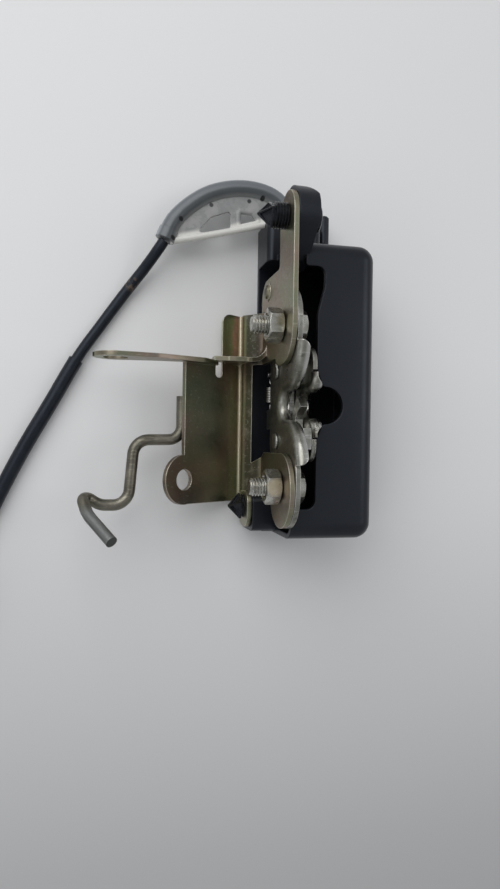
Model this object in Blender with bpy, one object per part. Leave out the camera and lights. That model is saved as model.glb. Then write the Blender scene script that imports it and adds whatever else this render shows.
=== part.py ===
"""Seat back latch with its mounting bracket, moulded cover and release cable.

X runs along the bolts, from the nuts to the cover. Y runs along the latch, and Z is the way
the striker leaves the throat. The origin lies on the left face of the base plate, level with
the middle of the throat, on the plane that the cover's back rests on. The latch stands open.
"""
import math

import bmesh
import bpy
from mathutils import Matrix, Vector

MM = 0.001              # one millimetre in metres: every size below is in millimetres
GAP = 0.3               # clearance between pieces that rest on or pass through each other
ARC_STEP = 14.0         # degrees of turn for each facet of a rounded corner

# Sheet metal
BASE_T = 2.0            # latch base plate
SIDE_T = 1.8            # smaller side plate that closes the mechanism
BRACKET_T = 2.0         # zinc plated bracket
PLATE_FRONT = 62.0      # front edge of the base plate and of the bracket's tongues
PLATE_REAR = 20.0
SIDE_FRONT = 53.0       # front edge of the side plate
SIDE_REAR = 18.0
SIDE_X = 9.4            # near face of the side plate
SIDE_HALF = 24.0

# Bolts
BOLT_UP_Y = 33.0
BOLT_LOW_Y = -34.5
BOLT_R = 4.0
BOLT_FLATS = 13.0
BOLT_HEAD = 5.3
NUT_HEIGHT = 6.5
THREAD_END = -15.5
TONGUE_R = 16.2         # round tongues about the bolts
BOLT_Z = PLATE_FRONT - TONGUE_R

# Throat for the striker
THROAT_HALF = 6.2
THROAT_END = 34.5
THROAT_FLARE_Z = 45.0
THROAT_MOUTH = 20.5
SIDE_THROAT_HALF = 6.5
SIDE_THROAT_MOUTH = 14.0
LIP_T = 1.8
LIP_REACH = 3.2         # how far the base plate's rolled lips stand off its right face
SIDE_LIP_REACH = 2.6

# Fork and pawl
FORK_Y = -15.5
PAWL_Y = 15.5
PIVOT_Z = 31.0
CATCH_X = 5.6           # near face of the fork and pawl
CATCH_T = 3.4
FORK_R = 22.5
FORK_RIM_R = 13.0
FORK_HUB_R = 9.0
FORK_STEP_R = 10.0
FORK_TURN = 35.0        # degrees from open to closed
STRIKER_R = 17.4        # fork pivot to the middle of a latched striker
STRIKER_CLEAR = 5.2     # half the width of the fork's mouth
MOUTH_CLOSED = 62.7     # direction of the mouth when closed, degrees from +Z towards +Y
PIN_R = 4.0
PIN_NECK_R = 2.7
PIN_HEAD_R = 3.6
PIN_HEAD = 0.9
PIN_SHOULDER_R = 6.0

# Moulded cover
COVER_LEFT = 2.4
COVER_RIGHT = 37.0
COVER_LOW = -57.0
COVER_HIGH = 66.0
COVER_FRONT = 47.7
COVER_WALL = 2.4
COVER_EDGE_R = 6.0
COVER_REAR_LEFT = -1.8
COVER_WINDOW_X = 13.0
COVER_WINDOW_LOW = -44.0
COVER_WINDOW_HIGH = 60.0
KEYHOLE_X = 16.7
KEYHOLE_R = 8.0
EAR_LEFT = 0.0
EAR_RIGHT = 12.0
CLIP_EAR_R = 14.2       # round ear for the upper clip, just behind the plates' front edge
TOWER_RIGHT = 30.0
TOWER_HIGH = 86.0
TOWER_DEEP = 20.0

# Push clips
CLIP_UP_Y = 77.0
CLIP_UP_Z = PLATE_FRONT - 10.5
CLIP_LOW_Y = -45.5
CLIP_LOW_Z = 12.0
CLIP_R = 3.0
CLIP_HEAD_R = 5.2
CLIP_CAP_R = 6.0
CLIP_CAP = 2.0
CLIP_UP_HEAD = 12.0
CLIP_LOW_HEAD = 8.0

# Bracket
ARM_END_R = 10.4
FLANGE_X = -9.3         # middle of the sheet beside the bend
FACE_LENGTH = 38.5      # main face, from the bend's corner to its free edge
FACE_LOW = -43.8
FACE_HIGH = 21.0
STRAP_HIGH = 45.0
NOTCH_RIGHT = -20.7
NOTCH_LEFT = -24.2
NOTCH_LOW = 13.8
EAR_HOLE_Y = -33.0
EAR_R = 11.0
EAR_HOLE_R = 4.6
EYE_X = -70.0
EYE_Z = 27.0
EYE_R = 9.5
EYE_HOLE_R = 5.5
LOBE_R = 9.5

# Bent wire hook
ROD_R = 2.5

# Cable
CABLE_R = 2.5
SLEEVE_R = 3.3
GUIDE_R = 3.6
GUIDE_Z = 12.0
WEB_T = 2.4
COIL_R = 28.0
COIL_X = -161.0
COIL_Y = -88.0

AXES = {"x": Vector((1, 0, 0)), "y": Vector((0, 1, 0)), "z": Vector((0, 0, 1))}


def clear_scene():
    for item in list(bpy.data.objects):
        bpy.data.objects.remove(item, do_unlink=True)


def finish(name, mesh, finish_name="zinc", location=(0, 0, 0)):
    """Turns a bmesh into a named object whose faces point outwards."""
    bmesh.ops.recalc_face_normals(mesh, faces=mesh.faces)
    data = bpy.data.meshes.new(name)
    if location != (0, 0, 0):
        bmesh.ops.translate(mesh, verts=mesh.verts, vec=-Vector(location))
    mesh.to_mesh(data)
    mesh.free()
    data.shade_smooth()
    data.set_sharp_from_angle(angle=math.radians(32))
    item = bpy.data.objects.new(name, data)
    item.location = location
    bpy.context.collection.objects.link(item)
    paint(item, finish_name)
    return item


FINISHES = {
    "zinc": ((0.52, 0.51, 0.47), 0.38, 1.0),
    "olive": ((0.36, 0.34, 0.24), 0.36, 1.0),
    "bright": ((0.62, 0.62, 0.60), 0.28, 1.0),
    "black": ((0.02, 0.021, 0.024), 0.45, 0.0),
    "grey": ((0.42, 0.45, 0.48), 0.35, 0.0),
    "rubber": ((0.015, 0.015, 0.018), 0.6, 0.0),
    "spring": ((0.45, 0.44, 0.42), 0.35, 1.0),
}


def paint(item, finish_name):
    colour, roughness, metallic = FINISHES[finish_name]
    material = bpy.data.materials.new(item.name + "_finish")
    material.use_nodes = True
    shader = material.node_tree.nodes["Principled BSDF"]
    shader.inputs["Base Color"].default_value = (*colour, 1)
    shader.inputs["Roughness"].default_value = roughness
    shader.inputs["Metallic"].default_value = metallic
    item.data.materials.append(material)


def rounded(corners):
    """Outline through corners given as (a, b, radius), each turned into an arc of that radius."""
    outline = []
    count = len(corners)
    for i in range(count):
        a, b, radius = corners[i]
        corner = Vector((a, b))
        before = (Vector(corners[i - 1][:2]) - corner).normalized()
        after = (Vector(corners[(i + 1) % count][:2]) - corner).normalized()
        if radius <= 0:
            outline.append(corner)
            continue
        opening = before.angle(after)
        turn = math.pi - opening
        reach = radius / math.tan(opening / 2)
        centre = corner + (before + after).normalized() * (radius / math.sin(opening / 2))
        first = corner + before * reach - centre
        side = 1 if before.x * after.y - before.y * after.x < 0 else -1
        steps = max(2, math.ceil(math.degrees(turn) / ARC_STEP))
        for k in range(steps + 1):
            outline.append(centre + Matrix.Rotation(side * turn * k / steps, 2) @ first)
    return [(point.x, point.y) for point in outline]


def open_path(corners):
    """Rounded path whose first and last corners stay sharp ends."""
    closed = rounded([corners[0][:2] + (0,)] + corners[1:-1] + [corners[-1][:2] + (0,)])
    return [Vector(point) for point in closed]


def beside(path, distance):
    """The path moved sideways, to its left for a positive distance."""
    moved = []
    for i, point in enumerate(path):
        ahead = path[min(i + 1, len(path) - 1)] - path[max(i - 1, 0)]
        ahead.normalize()
        moved.append(point + Vector((-ahead.y, ahead.x)) * distance)
    return moved


def band(path, left, right):
    """Closed outline between two parallels of an open path."""
    return [tuple(p) for p in beside(path, left)] + [tuple(p) for p in reversed(beside(path, right))]


def spot(axis, a, b, along):
    """A point from its two coordinates in the plane across an axis, and its place along it."""
    return {"x": (along, a, b), "y": (a, along, b), "z": (a, b, along)}[axis]


def circle(a, b, radius, steps=24):
    return [(a + radius * math.cos(math.tau * k / steps), b + radius * math.sin(math.tau * k / steps))
            for k in range(steps)]


def prism(name, outline, axis, low, high, finish_name="zinc", location=(0, 0, 0), holes=()):
    """A flat outline in millimetres, with any holes in it, pushed along an axis."""
    mesh = bmesh.new()
    edges = []
    for loop in (outline, *holes):
        ring = [mesh.verts.new(Vector(spot(axis, a, b, low)) * MM) for a, b in loop]
        edges += [mesh.edges.new((ring[i - 1], ring[i])) for i in range(len(ring))]
    if holes:
        bmesh.ops.triangle_fill(mesh, edges=edges, use_beauty=True)
    else:
        mesh.faces.new(ring)
    grown = bmesh.ops.extrude_face_region(mesh, geom=list(mesh.faces))
    moved = [v for v in grown["geom"] if isinstance(v, bmesh.types.BMVert)]
    bmesh.ops.translate(mesh, verts=moved, vec=AXES[axis] * (high - low) * MM)
    return finish(name, mesh, finish_name, location)


def turned(name, profile, axis, centre, steps=24, finish_name="zinc", start=0.0):
    """A turned piece: (along, radius) steps from end to end, spun about an axis line."""
    mesh = bmesh.new()
    side = {"x": Vector((0, 1, 0)), "y": Vector((0, 0, 1)), "z": Vector((1, 0, 0))}[axis]
    side = Matrix.Rotation(start, 3, AXES[axis]) @ side
    base = Vector(spot(axis, centre[0], centre[1], 0))
    points = [(profile[0][0], 0.0)] + list(profile) + [(profile[-1][0], 0.0)]
    verts = [mesh.verts.new((base + AXES[axis] * along + side * radius) * MM)
             for along, radius in points]
    edges = [mesh.edges.new(pair) for pair in zip(verts, verts[1:])]
    bmesh.ops.spin(mesh, geom=verts + edges, cent=base * MM, axis=AXES[axis], dvec=(0, 0, 0),
                   angle=math.tau, steps=steps, use_merge=True)
    bmesh.ops.remove_doubles(mesh, verts=mesh.verts, dist=0.00001)
    return finish(name, mesh, finish_name)


def as_tool(item):
    """Marks a solid as a cutter: it shapes others and is no piece itself."""
    item.hide_render = True
    item.hide_viewport = False
    item.display_type = "WIRE"
    return item


def combine(item, tool, operation):
    """Adds, cuts or trims by another solid."""
    step = item.modifiers.new(tool.name, "BOOLEAN")
    step.operation = operation
    step.solver = "EXACT"
    step.object = as_tool(tool)
    return item


def hole(item, axis, centre, radius, low, high, steps=24):
    name = f"{item.name}_hole_{len(item.modifiers)}"
    return combine(item, turned(name, [(low, radius), (high, radius)], axis, centre, steps),
                   "DIFFERENCE")


def smooth_route(points, step):
    """Points at an even step along a smooth curve through the given ones."""
    dense = []
    count = len(points)
    for i in range(count - 1):
        p0 = Vector(points[max(i - 1, 0)])
        p1 = Vector(points[i])
        p2 = Vector(points[i + 1])
        p3 = Vector(points[min(i + 2, count - 1)])
        for k in range(24):
            t = k / 24
            dense.append(0.5 * ((2 * p1) + (p2 - p0) * t + (2 * p0 - 5 * p1 + 4 * p2 - p3) * t * t
                                + (3 * p1 - p0 - 3 * p2 + p3) * t ** 3))
    dense.append(Vector(points[-1]))
    lengths = [0.0]
    for before, after in zip(dense, dense[1:]):
        lengths.append(lengths[-1] + (after - before).length)
    pieces = max(2, round(lengths[-1] / step))
    route = []
    j = 0
    for i in range(pieces + 1):
        goal = lengths[-1] * i / pieces
        while j < len(lengths) - 2 and lengths[j + 1] < goal:
            j += 1
        part = (goal - lengths[j]) / max(lengths[j + 1] - lengths[j], 1e-9)
        route.append(dense[j].lerp(dense[j + 1], min(part, 1)))
    return route


def tube(name, route, radius, finish_name, resolution=2):
    """A round bar or cable along a route, with closed ends."""
    curve = bpy.data.curves.new(name, "CURVE")
    curve.dimensions = "3D"
    curve.bevel_depth = radius * MM
    curve.bevel_resolution = resolution
    curve.use_fill_caps = True
    spline = curve.splines.new("POLY")
    spline.points.add(len(route) - 1)
    for point, place in zip(spline.points, route):
        point.co = (*(Vector(place) * MM), 1)
    item = bpy.data.objects.new(name, curve)
    bpy.context.collection.objects.link(item)
    paint(item, finish_name)
    return item


def as_mesh(item, finish_name):
    """Bakes a curve's tube into a mesh object, so that solids can be joined to it."""
    name = item.name
    data = bpy.data.meshes.new_from_object(item.evaluated_get(bpy.context.evaluated_depsgraph_get()))
    bpy.data.objects.remove(item, do_unlink=True)
    mesh = bmesh.new()
    mesh.from_mesh(data)
    bmesh.ops.remove_doubles(mesh, verts=mesh.verts, dist=0.00001)
    return finish(name, mesh, finish_name)


def throat(half, mouth, mouth_z):
    """Edge of a striker throat, from its lower mouth round the closed end to the upper mouth."""
    return open_path([(-mouth, mouth_z), (-half, THROAT_FLARE_Z, 8), (-half, THROAT_END, half - 0.1),
                      (half, THROAT_END, half - 0.1), (half, THROAT_FLARE_Z, 8), (mouth, mouth_z)])


def throat_plate(name, body, path, low, high, lip_high, holes):
    """A plate outline opened by a throat, whose edge is rolled to the right into lips."""
    edge = [tuple(p) for p in beside(path, -LIP_T / 2)]
    plate = prism(name, edge + body, "x", low, high, holes=holes)
    lips = prism(name + "_lips", band(path, 0, -LIP_T), "x", low + 0.6, lip_high)
    return combine(plate, lips, "UNION")


def base_plate():
    """Thick stamped plate that the bolts, the pivots and the bracket all share."""
    up_end = BOLT_UP_Y + TONGUE_R
    low_end = BOLT_LOW_Y - TONGUE_R
    back = BOLT_Z - TONGUE_R
    end_r = TONGUE_R - 0.1
    body = rounded([(THROAT_MOUTH + LIP_T, PLATE_FRONT, 0), (up_end, PLATE_FRONT, end_r),
                    (up_end, back, end_r), (PAWL_Y + 10, back, 4), (PAWL_Y + 6, PLATE_REAR, 4),
                    (FORK_Y - 4, PLATE_REAR, 4), (FORK_Y - 8, back, 4), (low_end, back, end_r),
                    (low_end, PLATE_FRONT, end_r), (-THROAT_MOUTH - LIP_T, PLATE_FRONT, 0)])
    path = throat(THROAT_HALF, THROAT_MOUTH, PLATE_FRONT)
    holes = [circle(y, BOLT_Z, BOLT_R + GAP) for y in (BOLT_UP_Y, BOLT_LOW_Y)]
    holes += [circle(y, PIVOT_Z, PIN_NECK_R + GAP) for y in (PAWL_Y, FORK_Y)]
    plate = throat_plate("base_plate", body, path, 0, BASE_T, BASE_T + LIP_REACH, holes)
    low = SPRING_LUG_Y - 4.5
    spring_lug = prism("base_plate_lug",
                       rounded([(low, PLATE_REAR + 1, 0), (low, SPRING_Z - 2, 1.5),
                                (SPRING_LUG_Y, SPRING_Z - 2, 1), (SPRING_LUG_Y, PLATE_REAR + 1, 0)]),
                       "x", 0.1, BASE_T - 0.1)
    return combine(plate, spring_lug, "UNION")


def side_plate():
    """Smaller plate on the far side of the fork and pawl, riveted to the pivot pins."""
    body = rounded([(SIDE_THROAT_MOUTH + LIP_T, SIDE_FRONT, 0), (SIDE_HALF, SIDE_FRONT, 5),
                    (SIDE_HALF, SIDE_REAR, 6), (-SIDE_HALF, SIDE_REAR, 6),
                    (-SIDE_HALF, SIDE_FRONT, 5), (-SIDE_THROAT_MOUTH - LIP_T, SIDE_FRONT, 0)])
    path = throat(SIDE_THROAT_HALF, SIDE_THROAT_MOUTH, SIDE_FRONT)
    holes = [circle(y, PIVOT_Z, PIN_NECK_R + GAP) for y in (PAWL_Y, FORK_Y)]
    return throat_plate("side_plate", body, path, SIDE_X, SIDE_X + SIDE_T,
                        SIDE_X + SIDE_T + SIDE_LIP_REACH, holes)


def pivot_pin(name, y):
    """Shouldered rivet: it spaces the two plates and carries the fork or the pawl."""
    shoulder = BASE_T + GAP
    far = SIDE_X + SIDE_T + GAP
    profile = [(-GAP - PIN_HEAD, PIN_HEAD_R - 0.6), (-GAP - PIN_HEAD / 2, PIN_HEAD_R),
               (-GAP, PIN_HEAD_R), (-GAP, PIN_NECK_R), (shoulder, PIN_NECK_R),
               (shoulder, PIN_SHOULDER_R), (CATCH_X - GAP, PIN_SHOULDER_R), (CATCH_X - GAP, PIN_R),
               (SIDE_X - GAP / 3, PIN_R), (SIDE_X - GAP / 3, PIN_NECK_R), (far, PIN_NECK_R),
               (far, PIN_HEAD_R), (far + PIN_HEAD, PIN_HEAD_R - 0.6)]
    return turned(name, profile, "x", (y, PIVOT_Z), 20, "bright")


def polar(angle, radius):
    """Point about the fork's pivot, its angle in degrees from +Z towards +Y."""
    turn = math.radians(angle)
    return (FORK_Y + radius * math.sin(turn), PIVOT_Z + radius * math.cos(turn))


def arc_about_fork(first, last, radius, steps):
    return [polar(first + (last - first) * k / steps, radius) for k in range(steps + 1)]


def fork():
    """Hook that takes the striker: two jaws, a round mouth, and a stepped rim for the pawl."""
    mouth = MOUTH_CLOSED - FORK_TURN
    half = math.degrees(math.asin(STRIKER_CLEAR / FORK_R))
    pocket = []
    for k in range(9):
        turn = math.radians(mouth - 90 + 180 * k / 8 + 180)
        y, z = polar(mouth, STRIKER_R)
        pocket.append((y + STRIKER_CLEAR * math.sin(turn), z + STRIKER_CLEAR * math.cos(turn)))
    outline = [polar(-30, FORK_HUB_R)] + arc_about_fork(-8, mouth - half, FORK_R, 4)
    outline += list(reversed(pocket))
    outline += arc_about_fork(mouth + half, 60, FORK_R, 4)
    outline += [polar(66, FORK_STEP_R), polar(78, FORK_STEP_R)]
    outline += arc_about_fork(79, 165, FORK_RIM_R, 9)
    outline += arc_about_fork(185, 320, FORK_HUB_R, 9)
    place = (CATCH_X * MM, FORK_Y * MM, PIVOT_Z * MM)
    item = prism("fork", outline, "x", CATCH_X, CATCH_X + CATCH_T, "bright", place)
    return hole(item, "x", (FORK_Y, PIVOT_Z), PIN_R + GAP, CATCH_X - 1, CATCH_X + CATCH_T + 1)


def pawl():
    """Lever whose tooth faces the fork's rim and whose tail takes the spring and the cable."""
    tooth_top = polar(101, FORK_RIM_R + GAP)
    tooth_low = polar(113, FORK_RIM_R + GAP)
    arm_high = tooth_top[1] - 0.5
    corners = [(PAWL_Y + 7, PIVOT_Z + 7, 6.6), (PAWL_Y - 7, PIVOT_Z + 7, 6.6),
               (PAWL_Y - 7, arm_high, 1), (tooth_top[0] + 0.6, arm_high, 0), (*tooth_top, 0),
               (*tooth_low, 0), (tooth_low[0] + 2.4, tooth_low[1] - 4.4, 1.2),
               (PAWL_Y - 4, PIVOT_Z - 11.5, 3), (PAWL_Y - 3, TAIL_Z - 3, 2),
               (PAWL_Y + 2.5, TAIL_Z - 3, 2), (PAWL_Y + 4, PIVOT_Z - 7, 4),
               (PAWL_Y + 7, PIVOT_Z - 5, 3)]
    place = (CATCH_X * MM, PAWL_Y * MM, PIVOT_Z * MM)
    item = prism("pawl", rounded(corners), "x", CATCH_X, CATCH_X + CATCH_T, "bright", place)
    hole(item, "x", (PAWL_Y, PIVOT_Z), PIN_R + GAP, CATCH_X - 1, CATCH_X + CATCH_T + 1)
    lug = turned("pawl_lug", [(LUG_LEFT, LUG_R), (CATCH_X + 0.5, LUG_R)], "x",
                 (PAWL_Y, TAIL_Z), 12)
    return combine(item, lug, "UNION")


def hex_solid(name, y, low, high, chamfer_low, chamfer_high, finish_name):
    """Hexagon with its corners turned off, for a bolt head or a nut."""
    flats = BOLT_FLATS / 2
    corner = flats / math.cos(math.pi / 6)
    outline = [(y + corner * math.sin(math.pi * k / 3 + math.pi / 6),
                BOLT_Z + corner * math.cos(math.pi * k / 3 + math.pi / 6)) for k in range(6)]
    item = prism(name, outline, "x", low, high, finish_name)
    depth = 0.9
    profile = [(low, flats - 0.2 if chamfer_low else corner + 1)]
    if chamfer_low:
        profile.append((low + depth, corner + 0.3))
    if chamfer_high:
        profile.append((high - depth, corner + 0.3))
    profile.append((high, flats - 0.2 if chamfer_high else corner + 1))
    return combine(item, turned(name + "_chamfer", profile, "x", (y, BOLT_Z), 24), "INTERSECT")


def bolt(name, y):
    """M8 hexagon bolt, its head on the base plate and its thread through the bracket."""
    seat = BASE_T + GAP
    item = hex_solid(name, y, seat, seat + BOLT_HEAD, False, True, "bright")
    shank = turned(name + "_shank", [(THREAD_END, BOLT_R - 0.9), (THREAD_END + 1, BOLT_R),
                                     (seat + 1, BOLT_R)], "x", (y, BOLT_Z), 20)
    return combine(item, shank, "UNION")


def nut(name, y):
    seat = -BRACKET_T - 2 * GAP
    item = hex_solid(name, y, seat - NUT_HEIGHT, seat, True, True, "olive")
    return hole(item, "x", (y, BOLT_Z), BOLT_R + GAP, seat - NUT_HEIGHT - 1, seat + 1, 20)


def cover_outline(inset):
    """The cover's section across Y, moved inwards by the wall for its hollow."""
    right = COVER_RIGHT - inset
    front = COVER_FRONT - inset
    edge = COVER_EDGE_R - inset / 2
    if inset:
        left = COVER_REAR_LEFT - 20
        return rounded([(left, inset, 0), (right, inset, 2), (right, front, edge), (left, front, 0)])
    return rounded([(COVER_REAR_LEFT, 0, 0), (right, 0, 3), (right, front, edge),
                    (COVER_LEFT, front, 0), (COVER_LEFT, PLATE_REAR + 2, 0),
                    (COVER_REAR_LEFT, PLATE_REAR - 4, 2)])


def cover_side(inset):
    """The cover's section across X, with the big radii of its front edges."""
    edge = COVER_EDGE_R - inset / 2
    return rounded([(COVER_LOW + inset, -5, 0), (COVER_LOW + inset, COVER_FRONT - inset, edge),
                    (COVER_HIGH - inset, COVER_FRONT - inset, edge), (COVER_HIGH - inset, -5, 0)])


def cover():
    """Moulded cover: a tub open towards the base plate, with a slot for the striker in its
    front, an ear and an arm for the push clips, and a socket tower for the cable guide."""
    item = prism("cover", cover_outline(0), "y", COVER_LOW, COVER_HIGH, "black")
    combine(item, prism("cover_ends", cover_side(0), "x", -10, COVER_RIGHT + 5), "INTERSECT")
    tower = prism("cover_tower", rounded([(COVER_REAR_LEFT, 0, 0), (TOWER_RIGHT, 0, 2),
                                          (TOWER_RIGHT, TOWER_DEEP, 5),
                                          (COVER_REAR_LEFT, TOWER_DEEP, 3)]),
                  "y", COVER_HIGH - 5, TOWER_HIGH)
    combine(item, tower, "UNION")
    ear_high = CLIP_UP_Y + CLIP_EAR_R + GAP
    ear_front = PLATE_FRONT - 0.5
    ear_back = ear_front - 2 * CLIP_EAR_R
    ear = prism("cover_ear", rounded([(COVER_HIGH - 8, ear_back, 2),
                                      (ear_high, ear_back, CLIP_EAR_R - 0.1),
                                      (ear_high, ear_front, CLIP_EAR_R - 0.1),
                                      (COVER_HIGH, ear_front, 8),
                                      (COVER_HIGH - 10, COVER_FRONT - 2, 2)]),
                "x", EAR_LEFT, EAR_RIGHT)
    combine(item, ear, "UNION")
    hollow = prism("cover_hollow", cover_outline(COVER_WALL), "y", COVER_LOW + COVER_WALL,
                   COVER_HIGH - COVER_WALL)
    ends = prism("cover_hollow_ends", cover_side(COVER_WALL), "x", -30, COVER_RIGHT + 5)
    combine(hollow, ends, "INTERSECT")
    combine(item, hollow, "DIFFERENCE")
    arm = prism("cover_arm", rounded([(COVER_LOW + 0.5, 0.5, 2), (COVER_LOW + 0.5, 22, 4),
                                      (CLIP_LOW_Y + 5.5, 22, 4), (CLIP_LOW_Y + 5.5, 0.5, 2)]),
                "x", FLANGE_X + BRACKET_T / 2 + GAP, COVER_LEFT + 2)
    combine(item, arm, "UNION")
    mouth = KEYHOLE_R + 6.5
    window = prism("cover_window",
                   rounded([(-20, COVER_WINDOW_LOW, 0), (COVER_WINDOW_X, COVER_WINDOW_LOW, 4),
                            (COVER_WINDOW_X, -mouth, 1), (KEYHOLE_X - 1, -KEYHOLE_R, 2),
                            (KEYHOLE_X + KEYHOLE_R, -KEYHOLE_R, KEYHOLE_R - 0.1),
                            (KEYHOLE_X + KEYHOLE_R, KEYHOLE_R, KEYHOLE_R - 0.1),
                            (KEYHOLE_X - 1, KEYHOLE_R, 2), (COVER_WINDOW_X, mouth, 1),
                            (COVER_WINDOW_X, COVER_WINDOW_HIGH, 3), (-20, COVER_WINDOW_HIGH, 0)]),
                   "z", 40, 60)
    front_only = prism("cover_window_limit", [(-60, 32), (COVER_HIGH - 10.2, 32),
                                              (COVER_HIGH - 10.2, 60), (-60, 60)], "x", -25, 40)
    combine(window, front_only, "INTERSECT")
    combine(item, window, "DIFFERENCE")
    hole(item, "x", (CLIP_UP_Y, CLIP_UP_Z), CLIP_R + GAP, -5, EAR_RIGHT + 5)
    hole(item, "x", (CLIP_LOW_Y, CLIP_LOW_Z), CLIP_R + GAP, -15, COVER_LEFT + 5)
    return hole(item, "y", (GUIDE_END_X, GUIDE_Z), GUIDE_R + GAP, TOWER_HIGH - 9, TOWER_HIGH + 2)


def push_clip(name, y, z, inner, seat, head):
    """Plastic push pin: a flat cap, a round shank and a four sided arrow head."""
    cap = inner + GAP
    shank = turned(name, [(cap + CLIP_CAP, CLIP_CAP_R - 0.8), (cap + CLIP_CAP / 2, CLIP_CAP_R),
                          (cap, CLIP_CAP_R), (cap, CLIP_R), (seat - 2, CLIP_R)],
                   "x", (y, z), 20, "black")
    tip = seat - GAP
    arrow = turned(name + "_arrow", [(tip, CLIP_R - 0.4), (tip, CLIP_HEAD_R - 0.6),
                                     (tip - head * 0.35, CLIP_HEAD_R), (tip - head, 0.6)],
                   "x", (y, z), 4, "black")
    return combine(shank, arrow, "UNION")


def face_point(along, off=0.0):
    """Point of the bracket's main face, measured from the bend, and off its front surface."""
    return (FLANGE_X - 0.8 * along + 0.6 * off, BEND_Z + 0.6 * along + 0.8 * off)


def bracket():
    """One folded sheet: main face with an eared hole, a bar with an eye, a strap, a joggled
    flange, and two round tongues under the nuts, the upper one drawn out into the long arm."""
    half = BRACKET_T / 2
    tongue = -GAP - half
    path = open_path([face_point(FACE_LENGTH), (*face_point(0), 1.5), (FLANGE_X, BEND_Z + 6, 2),
                      (tongue, BEND_Z + 14, 2), (tongue, PLATE_REAR + 1)])
    item = prism("bracket", band(path, half, -half), "y", FACE_LOW, STRAP_HIGH, "olive")
    trim = FLANGE_X + half + 0.05
    recess = [(LOW_TONGUE_TOP, 4), (UP_TONGUE_LOW, 4), (UP_TONGUE_LOW, 24), (LOW_TONGUE_TOP, 24)]
    combine(item, prism("bracket_recess", recess, "x", trim, 2), "DIFFERENCE")
    foot = [(FACE_LOW - 1, 4), (FOOT_LOW, 4), (FOOT_LOW, 24), (FACE_LOW - 1, 24)]
    combine(item, prism("bracket_foot_trim", foot, "x", trim, 2), "DIFFERENCE")
    strap = rounded([(-50, FACE_HIGH, 0), (NOTCH_LEFT, FACE_HIGH, 2), (NOTCH_LEFT, NOTCH_LOW, 1.7),
                     (NOTCH_RIGHT, NOTCH_LOW, 1.7), (NOTCH_RIGHT, STRAP_HIGH + 5, 0),
                     (-50, STRAP_HIGH + 5, 0)])
    combine(item, prism("bracket_strap_trim", strap, "z", -5, 40), "DIFFERENCE")
    rear = BEND_Z + 16.5
    back = BOLT_Z - TONGUE_R
    arm_top = CLIP_UP_Y + ARM_END_R
    arm_rear = PLATE_FRONT - 2 * ARM_END_R
    end_r = ARM_END_R - 0.1
    upper = rounded([(arm_top, PLATE_FRONT, end_r), (arm_top, arm_rear, end_r),
                     (LOBE_TOP, arm_rear, 2), (LOBE_TOP, LOBE_BACK, 9),
                     (STRAP_HIGH + 0.4, LOBE_BACK, 1), (STRAP_HIGH + 0.4, rear, 0),
                     (UP_TONGUE_LOW, rear, 2), (UP_TONGUE_LOW, PIVOT_Z + 4.5, 3),
                     (BOLT_UP_Y - TONGUE_R, PIVOT_Z + 7.5, 4),
                     (BOLT_UP_Y - TONGUE_R, PLATE_FRONT, TONGUE_R - 1)])
    holes = [circle(BOLT_UP_Y, BOLT_Z, BOLT_R + GAP), circle(CLIP_UP_Y, CLIP_UP_Z, CLIP_R + GAP)]
    combine(item, prism("bracket_upper", upper, "x", tongue - half, tongue + half, holes=holes),
            "UNION")
    low_end = BOLT_LOW_Y - TONGUE_R
    lower = rounded([(low_end, PLATE_FRONT, TONGUE_R - 0.1), (low_end, back, TONGUE_R - 0.1),
                     (FOOT_LOW, back, 3), (FOOT_LOW, rear, 1), (LOW_TONGUE_TOP, rear, 2),
                     (LOW_TONGUE_TOP, PLATE_FRONT, TONGUE_R - 1)])
    holes = [circle(BOLT_LOW_Y, BOLT_Z, BOLT_R + GAP)]
    combine(item, prism("bracket_lower", lower, "x", tongue - half, tongue + half, holes=holes),
            "UNION")
    lobe = rounded([(FOOT_LOW - 1, 2, 0), (CLIP_LOW_Y - LOBE_R, 2, 8),
                    (CLIP_LOW_Y - LOBE_R, CLIP_LOW_Z + LOBE_R, 8), (FOOT_LOW - 1, CLIP_LOW_Z + LOBE_R, 5)])
    combine(item, prism("bracket_lobe", lobe, "x", FLANGE_X - half, FLANGE_X + half), "UNION")
    ear = tilted_disc("bracket_ear", EAR_R, half)
    combine(item, ear, "UNION")
    combine(item, tilted_disc("bracket_ear_hole", EAR_HOLE_R, 6), "DIFFERENCE")
    bar = rounded([(*face_point(20, -half), 0), (*face_point(FACE_LENGTH, -half), 2),
                   (EYE_X + 16, EYE_Z - 5.5, 6), (EYE_X - EYE_R, EYE_Z - EYE_R, EYE_R - 0.1),
                   (EYE_X - EYE_R, EYE_Z + EYE_R, EYE_R - 0.1), (EYE_X + 18, EYE_Z + 5.5, 8),
                   (*face_point(32, 7), 5), (*face_point(20, 4), 2)])
    holes = [circle(EYE_X, EYE_Z, EYE_HOLE_R)]
    combine(item, prism("bracket_bar", bar, "y", FACE_HIGH - BRACKET_T, FACE_HIGH, holes=holes),
            "UNION")
    rib = rounded([(NOTCH_LEFT, 10.2, 1), (-12, 1.5, 0), (-9.5, 4, 0), (tongue, 15, 0),
                   (tongue, PLATE_REAR + 1, 0), (NOTCH_LEFT, 15, 1.5)])
    combine(item, prism("bracket_rib", rib, "y", FACE_HIGH + 1, FACE_HIGH + 1 + BRACKET_T), "UNION")
    return hole(item, "x", (CLIP_LOW_Y, CLIP_LOW_Z), CLIP_R + GAP, -14, -5)


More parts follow.
